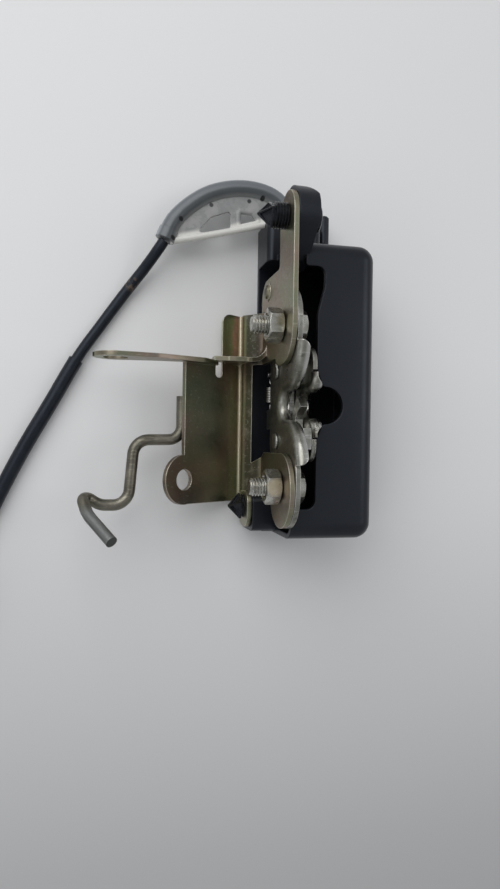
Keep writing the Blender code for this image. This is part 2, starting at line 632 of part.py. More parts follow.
def tilted_disc(name, radius, half):
    """A disc in the plane of the bracket's main face, centred on its free edge."""
    x, z = face_point(FACE_LENGTH)
    mesh = bmesh.new()
    bmesh.ops.create_cone(mesh, cap_ends=True, segments=32, radius1=radius * MM,
                          radius2=radius * MM, depth=2 * half * MM)
    turn = Matrix.Rotation(math.atan2(0.6, 0.8), 4, "Y")
    place = Matrix.Translation(Vector((x, EAR_HOLE_Y, z)) * MM)
    bmesh.ops.transform(mesh, matrix=place @ turn, verts=mesh.verts)
    return finish(name, mesh, "olive")


def bent_route(corners, step):
    """Straight runs joined by bends: corners are (x, y, z, bend radius)."""
    route = []
    for i, (x, y, z, radius) in enumerate(corners):
        corner = Vector((x, y, z))
        if radius <= 0:
            route.append(corner)
            continue
        before = (Vector(corners[i - 1][:3]) - corner).normalized()
        after = (Vector(corners[i + 1][:3]) - corner).normalized()
        opening = before.angle(after)
        reach = radius / math.tan(opening / 2)
        centre = corner + (before + after).normalized() * (radius / math.sin(opening / 2))
        first = corner + before * reach - centre
        axis = first.cross(after).normalized()
        turn = math.pi - opening
        steps = max(3, round(math.degrees(turn) / step))
        for k in range(steps + 1):
            route.append(centre + Matrix.Rotation(turn * k / steps, 3, axis) @ first)
    return route


def hook_rod():
    """Bent wire hook that lies along the free edge of the main face and ends towards the front."""
    x, z = face_point(FACE_LENGTH, -BRACKET_T / 2)
    x -= ROD_R + GAP + 0.1
    z += 0.4
    corners = [(x, 6, z, 0), (x, -14.4, z, 7), (-61.2, -16.4, z, 7), (-63.4, -41.8, z, 7),
               (-84.5, -41.2, z + 2, 5), (-72, -57.5, z + 21.5, 0)]
    return tube("hook_rod", bent_route(corners, 15), ROD_R, "olive", 3)


def cable_guide():
    """Grey elbow that turns the cable out of the cover: a tube braced by a windowed web."""
    route = smooth_route([(-48.6, 75.2, GUIDE_Z), (-43.6, 83.4, GUIDE_Z), (-36.0, 91.0, GUIDE_Z),
                          (-26.5, 96.6, GUIDE_Z), (-16.0, 99.2, GUIDE_Z), (-6.0, 98.4, GUIDE_Z),
                          (3.4, 95.6, GUIDE_Z), (8.6, 91.4, GUIDE_Z), (GUIDE_END_X, 86.6, GUIDE_Z),
                          (GUIDE_END_X, 84.0, GUIDE_Z), (GUIDE_END_X, TOWER_HIGH - 8, GUIDE_Z)], 4)
    item = as_mesh(tube("cable_guide", route, GUIDE_R, "grey", 3), "grey")
    crown = [(p.x, p.y) for p in route if p.x < -1 and p.y > 76]
    web = prism("cable_guide_web", crown + [(-2.4, 89.0), (-2.4, 86.0), (-44, 74.6)], "z",
                GUIDE_Z - WEB_T / 2, GUIDE_Z + WEB_T / 2)
    combine(item, web, "UNION")
    left = rounded([(-34, 80.4, 1.2), (-28.5, 87.2, 1.5), (-20.8, 91.4, 1.2), (-20.8, 83.6, 1.2)])
    right = rounded([(-17.4, 84.4, 1.2), (-17.4, 92.2, 1.2), (-9, 92.2, 1.5), (-5, 87.6, 1.2)])
    for side, outline in (("left", left), ("right", right)):
        combine(item, prism("cable_guide_window_" + side, outline, "z", GUIDE_Z - 6, GUIDE_Z + 6),
                "DIFFERENCE")
    return item


def coiled(start, end, y, z, radius, turns, per_turn):
    """Helix along Y, for the spring's close wound body."""
    count = round(turns * per_turn)
    return [Vector((SPRING_X + radius * math.cos(math.tau * turns * k / count),
                    start + (end - start) * k / count,
                    z + radius * math.sin(math.tau * turns * k / count))) for k in range(count + 1)]


def pawl_spring():
    """Tension spring from the lug of the base plate to the lug on the pawl's tail."""
    coil = coiled(-2.2, 8.6, 0, SPRING_Z, SPRING_R, 9, 10)
    low = [Vector((SPRING_X, SPRING_LUG_Y + GAP + 0.1, SPRING_Z)), Vector((SPRING_X, -3.9, SPRING_Z)),
           Vector((SPRING_X + SPRING_R * 0.6, -3.0, SPRING_Z))]
    high = [Vector((SPRING_X + SPRING_R * 0.5, 9.8, SPRING_Z)), Vector((SPRING_X, 11.0, TAIL_Z)),
            Vector((SPRING_X, PAWL_Y - LUG_R - GAP - SPRING_WIRE_R, TAIL_Z))]
    return tube("pawl_spring", low + coil + high, SPRING_WIRE_R, "spring", 1)


def release_wire():
    """Inner wire of the cable, from the tower's socket down to the pawl's tail."""
    end_y = PAWL_Y + LUG_R + GAP
    route = smooth_route([(GUIDE_END_X, COVER_HIGH - COVER_WALL - GAP, GUIDE_Z),
                          (9.0, 50, TAIL_Z), (6.0, 36, TAIL_Z), (WIRE_X, 24, TAIL_Z),
                          (WIRE_X, end_y, TAIL_Z)], 4)
    return tube("release_wire", route, WIRE_R, "spring", 1)


def cable():
    """The free cable: bare run, thicker sleeve, coil, tail and end fitting."""
    low = CABLE_R + 0.2
    sleeve = SLEEVE_R + 0.1
    run = smooth_route(CABLE_RUN + [(SLEEVE_START[0], SLEEVE_START[1], sleeve)], 4)
    ahead = (run[-1] - run[-2]).normalized()
    run[-1] = run[-1] - ahead * GAP
    tube("cable_outer", run, CABLE_R, "rubber")
    wrap = smooth_route([(*SLEEVE_START, sleeve)] + [(x, y, sleeve) for x, y in SLEEVE_RUN], 10)
    tube("cable_sleeve", wrap, SLEEVE_R, "rubber")
    ring_out = COIL_R + 2 * CABLE_R + 0.1
    touch = ring_out + CABLE_R + GAP
    last = Vector((*SLEEVE_RUN[-1], sleeve))
    lead = smooth_route([last + (last - wrap[-2]).normalized() * 2 * GAP,
                         Vector((*LEAD_MID, low)),
                         Vector((COIL_X + touch * math.cos(LEAD_TURN),
                                 COIL_Y + touch * math.sin(LEAD_TURN), low))], 5)
    tube("cable_lead", lead, CABLE_R, "rubber")
    ring_in = COIL_R - 2 * CABLE_R - 0.1
    mesh = bmesh.new()
    section = rounded([(ring_in, 0.1, 2.2), (ring_out, 0.1, 2.2), (ring_out, 4 * CABLE_R + 0.2, 2.2),
                       (ring_in, 4 * CABLE_R + 0.2, 2.2)])
    verts = [mesh.verts.new(Vector((COIL_X + r, COIL_Y, z)) * MM) for r, z in section]
    edges = [mesh.edges.new((verts[i - 1], verts[i])) for i in range(len(verts))]
    bmesh.ops.spin(mesh, geom=verts + edges, cent=Vector((COIL_X, COIL_Y, 0)) * MM, axis=(0, 0, 1),
                   dvec=(0, 0, 0), angle=math.tau, steps=36, use_merge=True)
    finish("cable_coil", mesh, "rubber")
    tail_x = COIL_X - ring_out - CABLE_R - GAP
    tail = [Vector((tail_x, COIL_Y + k * 8.0, low)) for k in range(4)]
    tube("cable_tail", tail, CABLE_R, "rubber")
    end = COIL_Y + 24 + GAP
    turned("cable_end_fitting", [(end, 3.0), (end + 11, 3.0), (end + 12, 1.0), (end + 22, 1.0),
                                 (end + 22, 2.4), (end + 28, 2.4)], "y", (tail_x, low + 0.6), 16,
           "spring")


# Places that follow from the sizes above
BEND_Z = -0.5                               # corner of the main bend, whose outside rests at zero
LOW_TONGUE_TOP = BOLT_LOW_Y + TONGUE_R - 2.2
UP_TONGUE_LOW = PAWL_Y + PIN_HEAD_R + 0.5
FOOT_LOW = CLIP_LOW_Y + 7.5                 # lower end of the joggle, clear of the cover's arm
LOBE_TOP = BOLT_UP_Y + 24
LOBE_BACK = 12.0
SPRING_X = 1.0
SPRING_Z = 15.5
SPRING_R = 1.5
SPRING_WIRE_R = 0.35
SPRING_LUG_Y = -5.0                         # face of the base plate's lug that holds the spring
TAIL_Z = 14.5
LUG_LEFT = 0.0
LUG_R = 1.2
WIRE_R = 0.8
WIRE_X = 4.4
GUIDE_END_X = 10.5
CABLE_RUN = [(-49.0, 74.5, GUIDE_Z), (-50.9, 71.4, 11.8), (-53.4, 67.8, 9.8), (-57.4, 62.4, 6.6), (-65.6, 51.6, 3.6),
             (-76.0, 36.6, 2.7)]
SLEEVE_START = (-86.1, 21.4)
SLEEVE_RUN = [(-97.4, 0.6), (-108.0, -18.6), (-116.4, -35.4), (-122.6, -49.4)]
LEAD_MID = (-125.6, -61.0)
LEAD_TURN = math.radians(20)                # where the lead joins the coil, from +X


def build():
    clear_scene()
    base_plate()
    side_plate()
    pivot_pin("fork_pin", FORK_Y)
    pivot_pin("pawl_pin", PAWL_Y)
    fork()
    pawl()
    bolt("bolt_upper", BOLT_UP_Y)
    bolt("bolt_lower", BOLT_LOW_Y)
    nut("nut_upper", BOLT_UP_Y)
    nut("nut_lower", BOLT_LOW_Y)
    bracket()
    hook_rod()
    cover()
    push_clip("push_clip_upper", CLIP_UP_Y, CLIP_UP_Z, EAR_RIGHT, -BRACKET_T - GAP, CLIP_UP_HEAD)
    push_clip("push_clip_lower", CLIP_LOW_Y, CLIP_LOW_Z, COVER_LEFT + 2,
              FLANGE_X - BRACKET_T / 2, CLIP_LOW_HEAD)
    cable_guide()
    pawl_spring()
    release_wire()
    cable()


build()
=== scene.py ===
import math

import bmesh
import bpy
from mathutils import Matrix, Vector


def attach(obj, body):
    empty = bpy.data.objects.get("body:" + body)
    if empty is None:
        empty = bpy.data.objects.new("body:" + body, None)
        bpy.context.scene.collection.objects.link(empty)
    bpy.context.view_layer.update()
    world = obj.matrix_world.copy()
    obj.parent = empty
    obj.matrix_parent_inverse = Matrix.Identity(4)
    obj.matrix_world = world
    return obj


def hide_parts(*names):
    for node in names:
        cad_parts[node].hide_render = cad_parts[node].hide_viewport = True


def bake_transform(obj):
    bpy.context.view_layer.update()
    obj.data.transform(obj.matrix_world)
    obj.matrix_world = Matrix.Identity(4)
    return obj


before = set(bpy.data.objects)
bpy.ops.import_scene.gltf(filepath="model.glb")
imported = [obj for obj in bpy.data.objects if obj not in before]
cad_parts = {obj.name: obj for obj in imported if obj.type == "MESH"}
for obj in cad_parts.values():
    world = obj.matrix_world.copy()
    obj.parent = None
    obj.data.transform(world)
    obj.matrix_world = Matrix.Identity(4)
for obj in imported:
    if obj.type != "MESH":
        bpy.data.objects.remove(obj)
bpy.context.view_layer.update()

# The bench and the eye. The latch lies on its cover's back on a pale, matt sheet, and is seen
# from straight above, a little to the left of it.
MM = 0.001                  # one millimetre in metres: sizes are in millimetres
EYE = Vector((-77.7, -17.0, 316.4)) * MM
LEAN = math.radians(13.0)   # how far the eye leans to the left of straight above
ROLL = math.radians(0.9)
LENS = 27.1

back = Vector((-math.sin(LEAN), 0, math.cos(LEAN)))
right = Vector((math.cos(LEAN), 0, math.sin(LEAN)))
along = Vector((0, 1, 0))
turned_right = right * math.cos(ROLL) + along * math.sin(ROLL)
turned_up = along * math.cos(ROLL) - right * math.sin(ROLL)
eye = bpy.data.objects.new("eye", bpy.data.cameras.new("eye"))
eye.data.lens = LENS
eye.data.sensor_width = 36
eye.data.clip_start = 0.01
eye.matrix_world = Matrix.Translation(EYE) @ Matrix((turned_right, turned_up, back)).transposed().to_4x4()
bpy.context.collection.objects.link(eye)
bpy.context.scene.camera = eye
bpy.context.scene.view_settings.view_transform = "Standard"


class Flow:
    """A shader value that Python's own signs work on."""

    def __init__(self, finish, socket):
        self.finish = finish
        self.socket = socket

    def maths(self, operation, first, second):
        return self.finish.node("ShaderNodeMath", {"operation": operation}, {0: first, 1: second})

    def __add__(self, other):
        return self.maths("ADD", self, other)

    def __radd__(self, other):
        return self.maths("ADD", other, self)

    def __sub__(self, other):
        return self.maths("SUBTRACT", self, other)

    def __rsub__(self, other):
        return self.maths("SUBTRACT", other, self)

    def __mul__(self, other):
        return self.maths("MULTIPLY", self, other)

    def __rmul__(self, other):
        return self.maths("MULTIPLY", other, self)


class Finish:
    """A procedural surface, built on one Principled shader."""

    def __init__(self, name):
        self.material = bpy.data.materials.new(name)
        self.material.use_nodes = True
        self.tree = self.material.node_tree
        self.shader = self.tree.nodes["Principled BSDF"]
        self.place = self.node("ShaderNodeTexCoord", {}, {}, "Object")

    def feed(self, target, value):
        if isinstance(value, Flow):
            self.tree.links.new(value.socket, target)
        else:
            target.default_value = value

    def node(self, kind, settings, inputs, output=0):
        made = self.tree.nodes.new(kind)
        for name, value in settings.items():
            if name == "ramp":
                while len(made.color_ramp.elements) < len(value):
                    made.color_ramp.elements.new(0.5)
                for stop, (where, colour) in zip(made.color_ramp.elements, value):
                    stop.position = where
                    stop.color = (*(colour if isinstance(colour, tuple) else (colour,) * 3), 1)
            else:
                setattr(made, name, value)
        for name, value in inputs.items():
            self.feed(made.inputs[name], value)
        return Flow(self, made.outputs[output])

    def noise(self, scale, detail, rough, place=None):
        return self.node("ShaderNodeTexNoise", {}, {"Vector": place or self.place, "Scale": scale,
                                                    "Detail": detail, "Roughness": rough}, "Fac")

    def ramp(self, value, *stops):
        return self.node("ShaderNodeValToRGB", {"ramp": stops}, {"Fac": value}, "Color")

    def between(self, value, low, high):
        """Runs from low to high over a noise's usual spread."""
        return self.ramp(value, (0.3, low), (0.7, high))

    def mix(self, share, first, second):
        first = first if isinstance(first, Flow) else (*first, 1)
        second = second if isinstance(second, Flow) else (*second, 1)
        return self.node("ShaderNodeMix", {"data_type": "RGBA"}, {0: share, 6: first, 7: second}, 2)

    def layered(self, tone, *layers):
        """Colours laid over a tone one after the other, each by its own share."""
        for share, colour in layers:
            tone = self.mix(share, tone, colour)
        return tone

    def stretched(self, x, y, z, turn=0.0):
        """The place, scaled along each axis and turned, for streaks that run one way."""
        return self.node("ShaderNodeMapping", {}, {"Vector": self.place, "Scale": (x, y, z),
                                                   "Rotation": (turn, turn * 0.7, turn)})

    def axis(self, name):
        return self.node("ShaderNodeSeparateXYZ", {}, {0: self.place}, name)

    def fade(self, value, low, high):
        """Rises smoothly from 0 at low to 1 at high."""
        return self.node("ShaderNodeMapRange", {"interpolation_type": "SMOOTHSTEP"},
                         {"Value": value, "From Min": low, "From Max": high})

    def past(self, name, low, high):
        """0 before low and 1 past high along an axis, both in millimetres."""
        return self.fade(self.axis(name), low * MM, high * MM)

    def strip(self, name, start, full, fall, end):
        """1 from full to fall along an axis, and 0 before start and past end, in millimetres."""
        return self.past(name, start, full) * (1 - self.past(name, fall, end))

    def near(self, point, radius, place=None):
        """A soft spot about a point given in millimetres."""
        away = self.node("ShaderNodeVectorMath", {"operation": "DISTANCE"},
                         {0: place or self.place, 1: tuple(Vector(point) * MM)}, "Value")
        return 1 - self.fade(away, radius * 0.55 * MM, radius * MM)

    def scratches(self, scale, turn, rarity=0.62):
        """Fine straight scratches, most of them one way."""
        lines = self.noise(1.0, 2.0, 0.6, self.stretched(scale, scale * 22, scale * 22, turn))
        return self.fade(lines, rarity, rarity + 0.1)

    def soft_edges(self, radius):
        """The surface's normal, rounded over its edges by a radius in millimetres."""
        return self.node("ShaderNodeBevel", {"samples": 6}, {"Radius": radius * MM})

    def edges(self, rounded_normal, gain=6.0):
        """High on edges, where the rounded normal turns away from the true one."""
        true = self.node("ShaderNodeNewGeometry", {}, {}, "Normal")
        agree = self.node("ShaderNodeVectorMath", {"operation": "DOT_PRODUCT"},
                          {0: rounded_normal, 1: true}, "Value")
        return self.fade(1 - agree, 0.0, 1 / gain)

    def bump(self, height, depth, normal):
        """Relief of a depth in millimetres, on top of another normal."""
        return self.node("ShaderNodeBump", {}, {"Height": height, "Distance": depth * MM, "Normal": normal})

    def set(self, **inputs):
        """Feeds the shader's sockets, named with _ for a space, and gives the material."""
        for name, value in inputs.items():
            if isinstance(value, tuple) and len(value) == 3:
                value = (*value, 1)
            self.feed(self.shader.inputs[name.replace("_", " ")], value)
        return self.material


sheet = Finish("pale_sheet")
# The sheet is painted darker towards the bottom of the picture, away from the window: painted shade standing
# in for the light's fall off.
paper_painted_falloff = sheet.ramp(sheet.axis("Y") * 2.2 + 0.6, (0.0, 0.46), (0.13, 0.52), (0.30, 0.64),
                   (0.52, 0.78), (0.66, 0.82), (1.0, 0.80))
sheet_mesh = bmesh.new()
bmesh.ops.create_grid(sheet_mesh, x_segments=1, y_segments=1, size=3.0)
sheet_data = bpy.data.meshes.new("sheet")
sheet_mesh.to_mesh(sheet_data)
sheet_mesh.free()
floor = bpy.data.objects.new("sheet", sheet_data)
floor.data.materials.append(sheet.set(Roughness=0.6, Base_Color=paper_painted_falloff))
bpy.context.collection.objects.link(floor)

# Daylight from a large window above the latch's upper end, and soft fill from a dim room.
LAMPS = {"window": ((-0.34, 0.48, 0.62), 0.8, 3.7), "room": ((0.75, 0.15, 0.75), 0.5, 1.2),
         "low_fill": ((-0.8, -0.4, 0.5), 0.6, 0.7)}
for name, (place, size, power) in LAMPS.items():
    lamp = bpy.data.objects.new(name, bpy.data.lights.new(name, "AREA"))
    lamp.data.size = size
    lamp.data.energy = power
    lamp.location = place
    lamp.rotation_euler = (-Vector(place)).to_track_quat("-Z", "Y").to_euler()
    bpy.context.collection.objects.link(lamp)
world = bpy.data.worlds.new("room")
bpy.context.scene.world = world
world.use_nodes = True
world.node_tree.nodes["Background"].inputs[0].default_value = (0.95, 0.97, 1, 1)
world.node_tree.nodes["Background"].inputs[1].default_value = 0.40

# The latch's own plates: thick stamped steel, zinc plated, whose edges curl outwards round the
# striker's throat. The base plate carries the bolts, and the side plate closes the far side.
ARC_STEP = 7.0              # degrees of turn for each facet of a rounded corner
BASE_T = 2.0
SIDE_T = 1.8
SIDE_X = 9.4                # near face of the side plate
SIDE_HALF = 24.0
SIDE_FRONT = 53.0
SIDE_REAR = 18.0
PLATE_FRONT = 62.0
PLATE_REAR = 20.0
BOLT_YS = (33.0, -34.5)
BOLT_Z = 45.8
BOLT_HOLE_R = 4.3
TONGUE_R = 16.2             # round tongues about the bolts
TONGUE_CORNER = TONGUE_R - 0.1
PIVOT_YS = (15.5, -15.5)
PIVOT_Z = 31.0
PIVOT_HOLE_R = 3.0
THROAT_END = 34.5
FLARE_END = 1.5             # straight end of each flare
# The throats: half the width, the front, and the turn of the flares in degrees and their radius.
BASE_THROAT = (6.2, PLATE_FRONT - 2.2, 78, 22.0)
SIDE_THROAT = (5.6, SIDE_FRONT, 90, 6.5)
LIP_BEND = 2.8              # outer radius of the rims that curl to the right
RIM_ROOT = LIP_BEND + 0.1
LIP_REACH = 3.2             # how far a rim stands off its plate
NOSE_Y = 7.5                # the side plate's rim stands high up to here, and then falls away
NOSE_FALL = 5.0
LUG = (-9.8, -1.0, 13.5)    # the spring's lug: its two sides and its rear end
AXES = {"x": Vector((1, 0, 0)), "y": Vector((0, 1, 0)), "z": Vector((0, 0, 1))}


def rounded(corners):
    """Outline through corners given as (a, b, radius), each turned into an arc of that radius."""
    outline = []
    count = len(corners)
    for i in range(count):
        a, b, radius = corners[i]
        corner = Vector((a, b))
        before = (Vector(corners[i - 1][:2]) - corner).normalized()
        after = (Vector(corners[(i + 1) % count][:2]) - corner).normalized()
        if radius <= 0:
            outline.append(corner)
            continue
        opening = before.angle(after)
        turn = math.pi - opening
        centre = corner + (before + after).normalized() * (radius / math.sin(opening / 2))
        first = corner + before * radius / math.tan(opening / 2) - centre
        side = 1 if before.x * after.y - before.y * after.x < 0 else -1
        steps = max(2, math.ceil(math.degrees(turn) / ARC_STEP))
        for k in range(steps + 1):
            outline.append(centre + Matrix.Rotation(side * turn * k / steps, 2) @ first)
    return [(point.x, point.y) for point in outline]


def open_path(corners):
    """Rounded path whose first and last corners stay sharp ends."""
    closed = rounded([corners[0][:2] + (0,)] + corners[1:-1] + [corners[-1][:2] + (0,)])
    return [Vector(point) for point in closed]


def beside(path, distance):
    """The path moved sideways, to its left for a positive distance."""
    moved = []
    for i, point in enumerate(path):
        ahead = path[min(i + 1, len(path) - 1)] - path[max(i - 1, 0)]
        ahead.normalize()
        moved.append(point + Vector((-ahead.y, ahead.x)) * distance)
    return moved


def band(path, left, right):
    """Closed outline between two parallels of an open path."""
    return [tuple(p) for p in beside(path, left)] + [tuple(p) for p in reversed(beside(path, right))]


def circle(a, b, radius):
    angles = [math.tau * k / 40 for k in range(40)]
    return [(a + radius * math.cos(angle), b + radius * math.sin(angle)) for angle in angles]


def spot(axis, a, b, far):
    """A point from its two coordinates in the plane across an axis, and its place along it."""
    return {"x": (far, a, b), "y": (a, far, b), "z": (a, b, far)}[axis]


def new_verts(grown):
    """The vertices among what an extrusion made."""
    return [item for item in grown["geom"] if isinstance(item, bmesh.types.BMVert)]


def soften(mesh, edges, radius, segments):
    bmesh.ops.bevel(mesh, geom=edges, offset=radius * MM, offset_type="OFFSET", segments=segments,
                    profile=0.5, affect="EDGES", material=-1)


def blank(name, mesh):
    """A mesh in the works, with its faces pointing outwards."""
    bmesh.ops.recalc_face_normals(mesh, faces=mesh.faces)
    data = bpy.data.meshes.new(name)
    mesh.to_mesh(data)
    mesh.free()
    item = bpy.data.objects.new(name, data)
    bpy.context.collection.objects.link(item)
    return item


def stamping(name, outline, axis, low, high, holes=()):
    """A flat outline, with any holes in it, pushed along an axis."""
    mesh = bmesh.new()
    edges = []
    for loop in (outline, *holes):
        ring = [mesh.verts.new(Vector(spot(axis, a, b, low)) * MM) for a, b in loop]
        edges += [mesh.edges.new((ring[i - 1], ring[i])) for i in range(len(ring))]
    if holes:
        bmesh.ops.triangle_fill(mesh, edges=edges, use_beauty=True)
    else:
        bmesh.ops.edgeloop_fill(mesh, edges=edges)
    grown = bmesh.ops.extrude_face_region(mesh, geom=mesh.faces[:])
    bmesh.ops.translate(mesh, verts=new_verts(grown), vec=AXES[axis] * (high - low) * MM)
    return blank(name, mesh)


def turned(name, profile, axis, centre, steps=40):
    """A turned piece: (along, radius) steps from end to end, spun about an axis line."""
    mesh = bmesh.new()
    side = {"x": AXES["y"], "y": AXES["z"], "z": AXES["x"]}[axis]
    base = Vector(spot(axis, *centre, 0))
    points = [(profile[0][0], 0.0)] + profile + [(profile[-1][0], 0.0)]
    verts = [mesh.verts.new((base + AXES[axis] * far + side * radius) * MM) for far, radius in points]
    edges = [mesh.edges.new(pair) for pair in zip(verts, verts[1:])]
    bmesh.ops.spin(mesh, geom=verts + edges, cent=base * MM, axis=AXES[axis], dvec=(0, 0, 0),
                   angle=math.tau, steps=steps, use_merge=True)
    bmesh.ops.remove_doubles(mesh, verts=mesh.verts, dist=0.000001)
    return blank(name, mesh)


def work(body, tool, operation="DIFFERENCE"):
    """Cuts, joins or trims a blank with another one, which is used up."""
    step = body.modifiers.new(operation, "BOOLEAN")
    step.operation = operation
    step.solver = "EXACT"
    step.object = tool
    shape = bpy.data.meshes.new_from_object(body.evaluated_get(bpy.context.evaluated_depsgraph_get()))
    if not shape.polygons:
        raise ValueError(f"{body.name} came out empty")
    body.modifiers.clear()
    body.data = shape
    bpy.data.objects.remove(tool)
    return body


def add(body, name, outline, axis, low, high, holes=()):
    """Joins a stamping to a blank."""
    work(body, stamping(name, outline, axis, low, high, holes), "UNION")


def cut(body, name, outline, axis, low, high):
    """Cuts a stamping's form out of a blank."""
    work(body, stamping(name, outline, axis, low, high))


def drill(body, axis, centre, radius, low, high):
    work(body, turned("drill", [(low, radius), (high, radius)], axis, centre))


def skin(item, material, nodes=(), sharp=180):
    """Finishes a blank: smooth shading, its material and the nodes that it replaces."""
    item.data.materials.clear()
    item.data.materials.append(material)
    item.data.shade_smooth()
    item.data.set_sharp_from_angle(angle=math.radians(sharp))
    if nodes:
        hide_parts(*nodes)


def fit(item, material, nodes=(), sharp=32):
    """The same for a rigid piece, which rides on the lock."""
    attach(item, "lock")
    skin(item, material, nodes, sharp)


def dress(name, material):
    """Gives a part of the frame its finish."""
    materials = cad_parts[name].data.materials
    materials.clear()
    materials.append(material)


def throat(half, front, turn, radius):
    """Edge of the striker's throat, from its lower mouth round the closed end to the upper one."""
    turn = math.radians(turn)
    run = radius * math.tan(turn / 2) + FLARE_END
    upper = [(half, front, radius), (half + run * math.sin(turn), front + run * math.cos(turn), 0)]
    lower = [(-y, z, r) for y, z, r in reversed(upper)]
    return open_path(lower + [(-half, THROAT_END, half - 0.1), (half, THROAT_END, half - 0.1)] + upper)


def curled_rim(name, path, near, thickness, shares):
    """Rim of a plate that curls to the right: its section is swept along the throat's edge, and
    keeps a share of its reach at each point."""
    quarter = [math.pi / 2 * k / 6 for k in range(7)]
    inner = LIP_BEND - thickness
    high = thickness + LIP_REACH
    root = RIM_ROOT + 0.6
    section = [(root, 0.2)]
    section += [(LIP_BEND * (1 - math.sin(t)), LIP_BEND * (1 - math.cos(t))) for t in quarter]
    section += [(0, high - 0.9), (0.25, high - 0.3), (0.9, high), (thickness - 0.9, high),
                (thickness - 0.25, high - 0.3), (thickness, high - 0.9), (thickness, LIP_BEND),
                (LIP_BEND - 0.6 * inner, LIP_BEND - 0.8 * inner), (LIP_BEND, thickness),
                (root, thickness - 0.2)]
    rows = [beside(path, -inward) for inward, _ in section]
    mesh = bmesh.new()
    rings = []
    for i, share in enumerate(shares):
        ring = []
        for row, (_, x) in zip(rows, section):
            raised = min(x, thickness) + max(x - thickness, 0) * share
            ring.append(mesh.verts.new(Vector((near + raised, *row[i])) * MM))
        rings.append([mesh.edges.new((ring[j - 1], ring[j])) for j in range(len(ring))])
    for before, after in zip(rings, rings[1:]):
        bmesh.ops.bridge_loops(mesh, edges=before + after)
    for end in (rings[0], rings[-1]):
        bmesh.ops.edgeloop_fill(mesh, edges=end)
    return blank(name, mesh)


zinc = Finish("plate_zinc")
round_edge = zinc.soft_edges(0.5)
cloud = zinc.noise(110, 5, 0.6)
marks = zinc.scratches(60, 0.4)
grime = zinc.fade(zinc.noise(230, 4, 0.65), 0.56, 0.7)
torn = zinc.past("X", 10.2, 11) * (1 - zinc.past("Y", -8, -6))
crust = zinc.noise(900, 3, 0.7)
# The curled rims' crests are painted lighter and made glossier: a painted highlight along the lips.
crest_painted_highlight = zinc.strip("X", 2.7, 4.0, 6.0, 6.5) + zinc.past("X", 12.2, 13.4)
tone = zinc.layered(
    zinc.ramp(cloud, (0.34, (0.20, 0.195, 0.165)), (0.5, (0.31, 0.305, 0.27)), (0.68, (0.46, 0.455, 0.42))),
    (marks * 0.5, (0.74, 0.73, 0.70)), (grime * 0.6, (0.08, 0.075, 0.06)),
    (zinc.edges(round_edge) * 0.75, (0.90, 0.89, 0.86)), (crest_painted_highlight * 0.6, (0.82, 0.81, 0.77)),
    (torn * zinc.fade(crust, 0.5, 0.62) * 0.7, (0.10, 0.095, 0.08)))
plate_skin = zinc.set(
    Base_Color=tone, Metallic=1.0,
    Roughness=zinc.ramp(cloud + crest_painted_highlight * 0.3, (0.3, 0.44), (0.6, 0.30), (0.85, 0.17)),
    Normal=zinc.bump(cloud * 0.5 + marks * -0.2 + torn * crust * 5.0, 0.10, round_edge))

up_end = BOLT_YS[0] + TONGUE_R
low_end = BOLT_YS[1] - TONGUE_R - 1.2
tongue_back = BOLT_Z - TONGUE_R
base_path = throat(*BASE_THROAT)
base_edge = beside(base_path, -RIM_ROOT)
mouth = base_edge[-1].x + 2
base_outline = rounded([(mouth, PLATE_FRONT, 0), (up_end, PLATE_FRONT, TONGUE_CORNER),
                        (up_end, tongue_back, TONGUE_CORNER), (PIVOT_YS[0] + 10, tongue_back, 4),
                        (PIVOT_YS[0] + 6, PLATE_REAR, 4), (PIVOT_YS[1] - 4, PLATE_REAR, 4),
                        (PIVOT_YS[1] - 8, tongue_back, 4), (low_end, tongue_back, TONGUE_CORNER),
                        (low_end, PLATE_FRONT, TONGUE_CORNER), (-mouth, PLATE_FRONT, 0)])
pivot_holes = [circle(y, PIVOT_Z, PIVOT_HOLE_R) for y in PIVOT_YS]
bolt_holes = [circle(y, BOLT_Z, BOLT_HOLE_R) for y in BOLT_YS]
base_plate = stamping("latch_base_plate", [tuple(p) for p in base_edge] + base_outline, "x", 0, BASE_T,
                      bolt_holes + pivot_holes)
base_rim = curled_rim("base_rim", base_path, 0, BASE_T, [1.0] * len(base_path))
rim_end = base_path[-1].x
rim_high = BASE_T + LIP_REACH + 0.1
rim_ends = rounded([(-1, -rim_end, 0), (rim_high, -rim_end, 4.6), (rim_high, rim_end, 4.6),
                    (-1, rim_end, 0)])
work(base_rim, stamping("rim_ends", rim_ends, "z", 20, 80), "INTERSECT")
work(base_plate, base_rim, "UNION")
lug_low, lug_high, lug_rear = LUG
lug = rounded([(lug_low, PLATE_REAR + 1, 0), (lug_low, lug_rear, 1.5), (lug_high, lug_rear, 1),
               (lug_high, PLATE_REAR + 1, 0)])
add(base_plate, "spring_lug", lug, "x", 0.1, 1.9)
fit(base_plate, plate_skin, ["base_plate"])

side_path = throat(*SIDE_THROAT)
mouth = side_path[-1].x + 1
side_outline = rounded([(mouth, SIDE_FRONT, 0), (SIDE_HALF, SIDE_FRONT, 7), (SIDE_HALF, SIDE_REAR, 6),
                        (-SIDE_HALF, SIDE_REAR, 6), (-SIDE_HALF, SIDE_FRONT, 7), (-mouth, SIDE_FRONT, 0)])
side_plate = stamping("latch_side_plate", [tuple(p) for p in beside(side_path, -RIM_ROOT)] + side_outline,
                      "x", SIDE_X, SIDE_X + SIDE_T, pivot_holes)
nose = [0.6 + 0.4 * math.cos(math.pi * min(max((abs(p.x) - NOSE_Y) / NOSE_FALL, 0), 1)) for p in side_path]
work(side_plate, curled_rim("side_rim", side_path, SIDE_X, SIDE_T, nose), "UNION")
fit(side_plate, plate_skin, ["side_plate"])

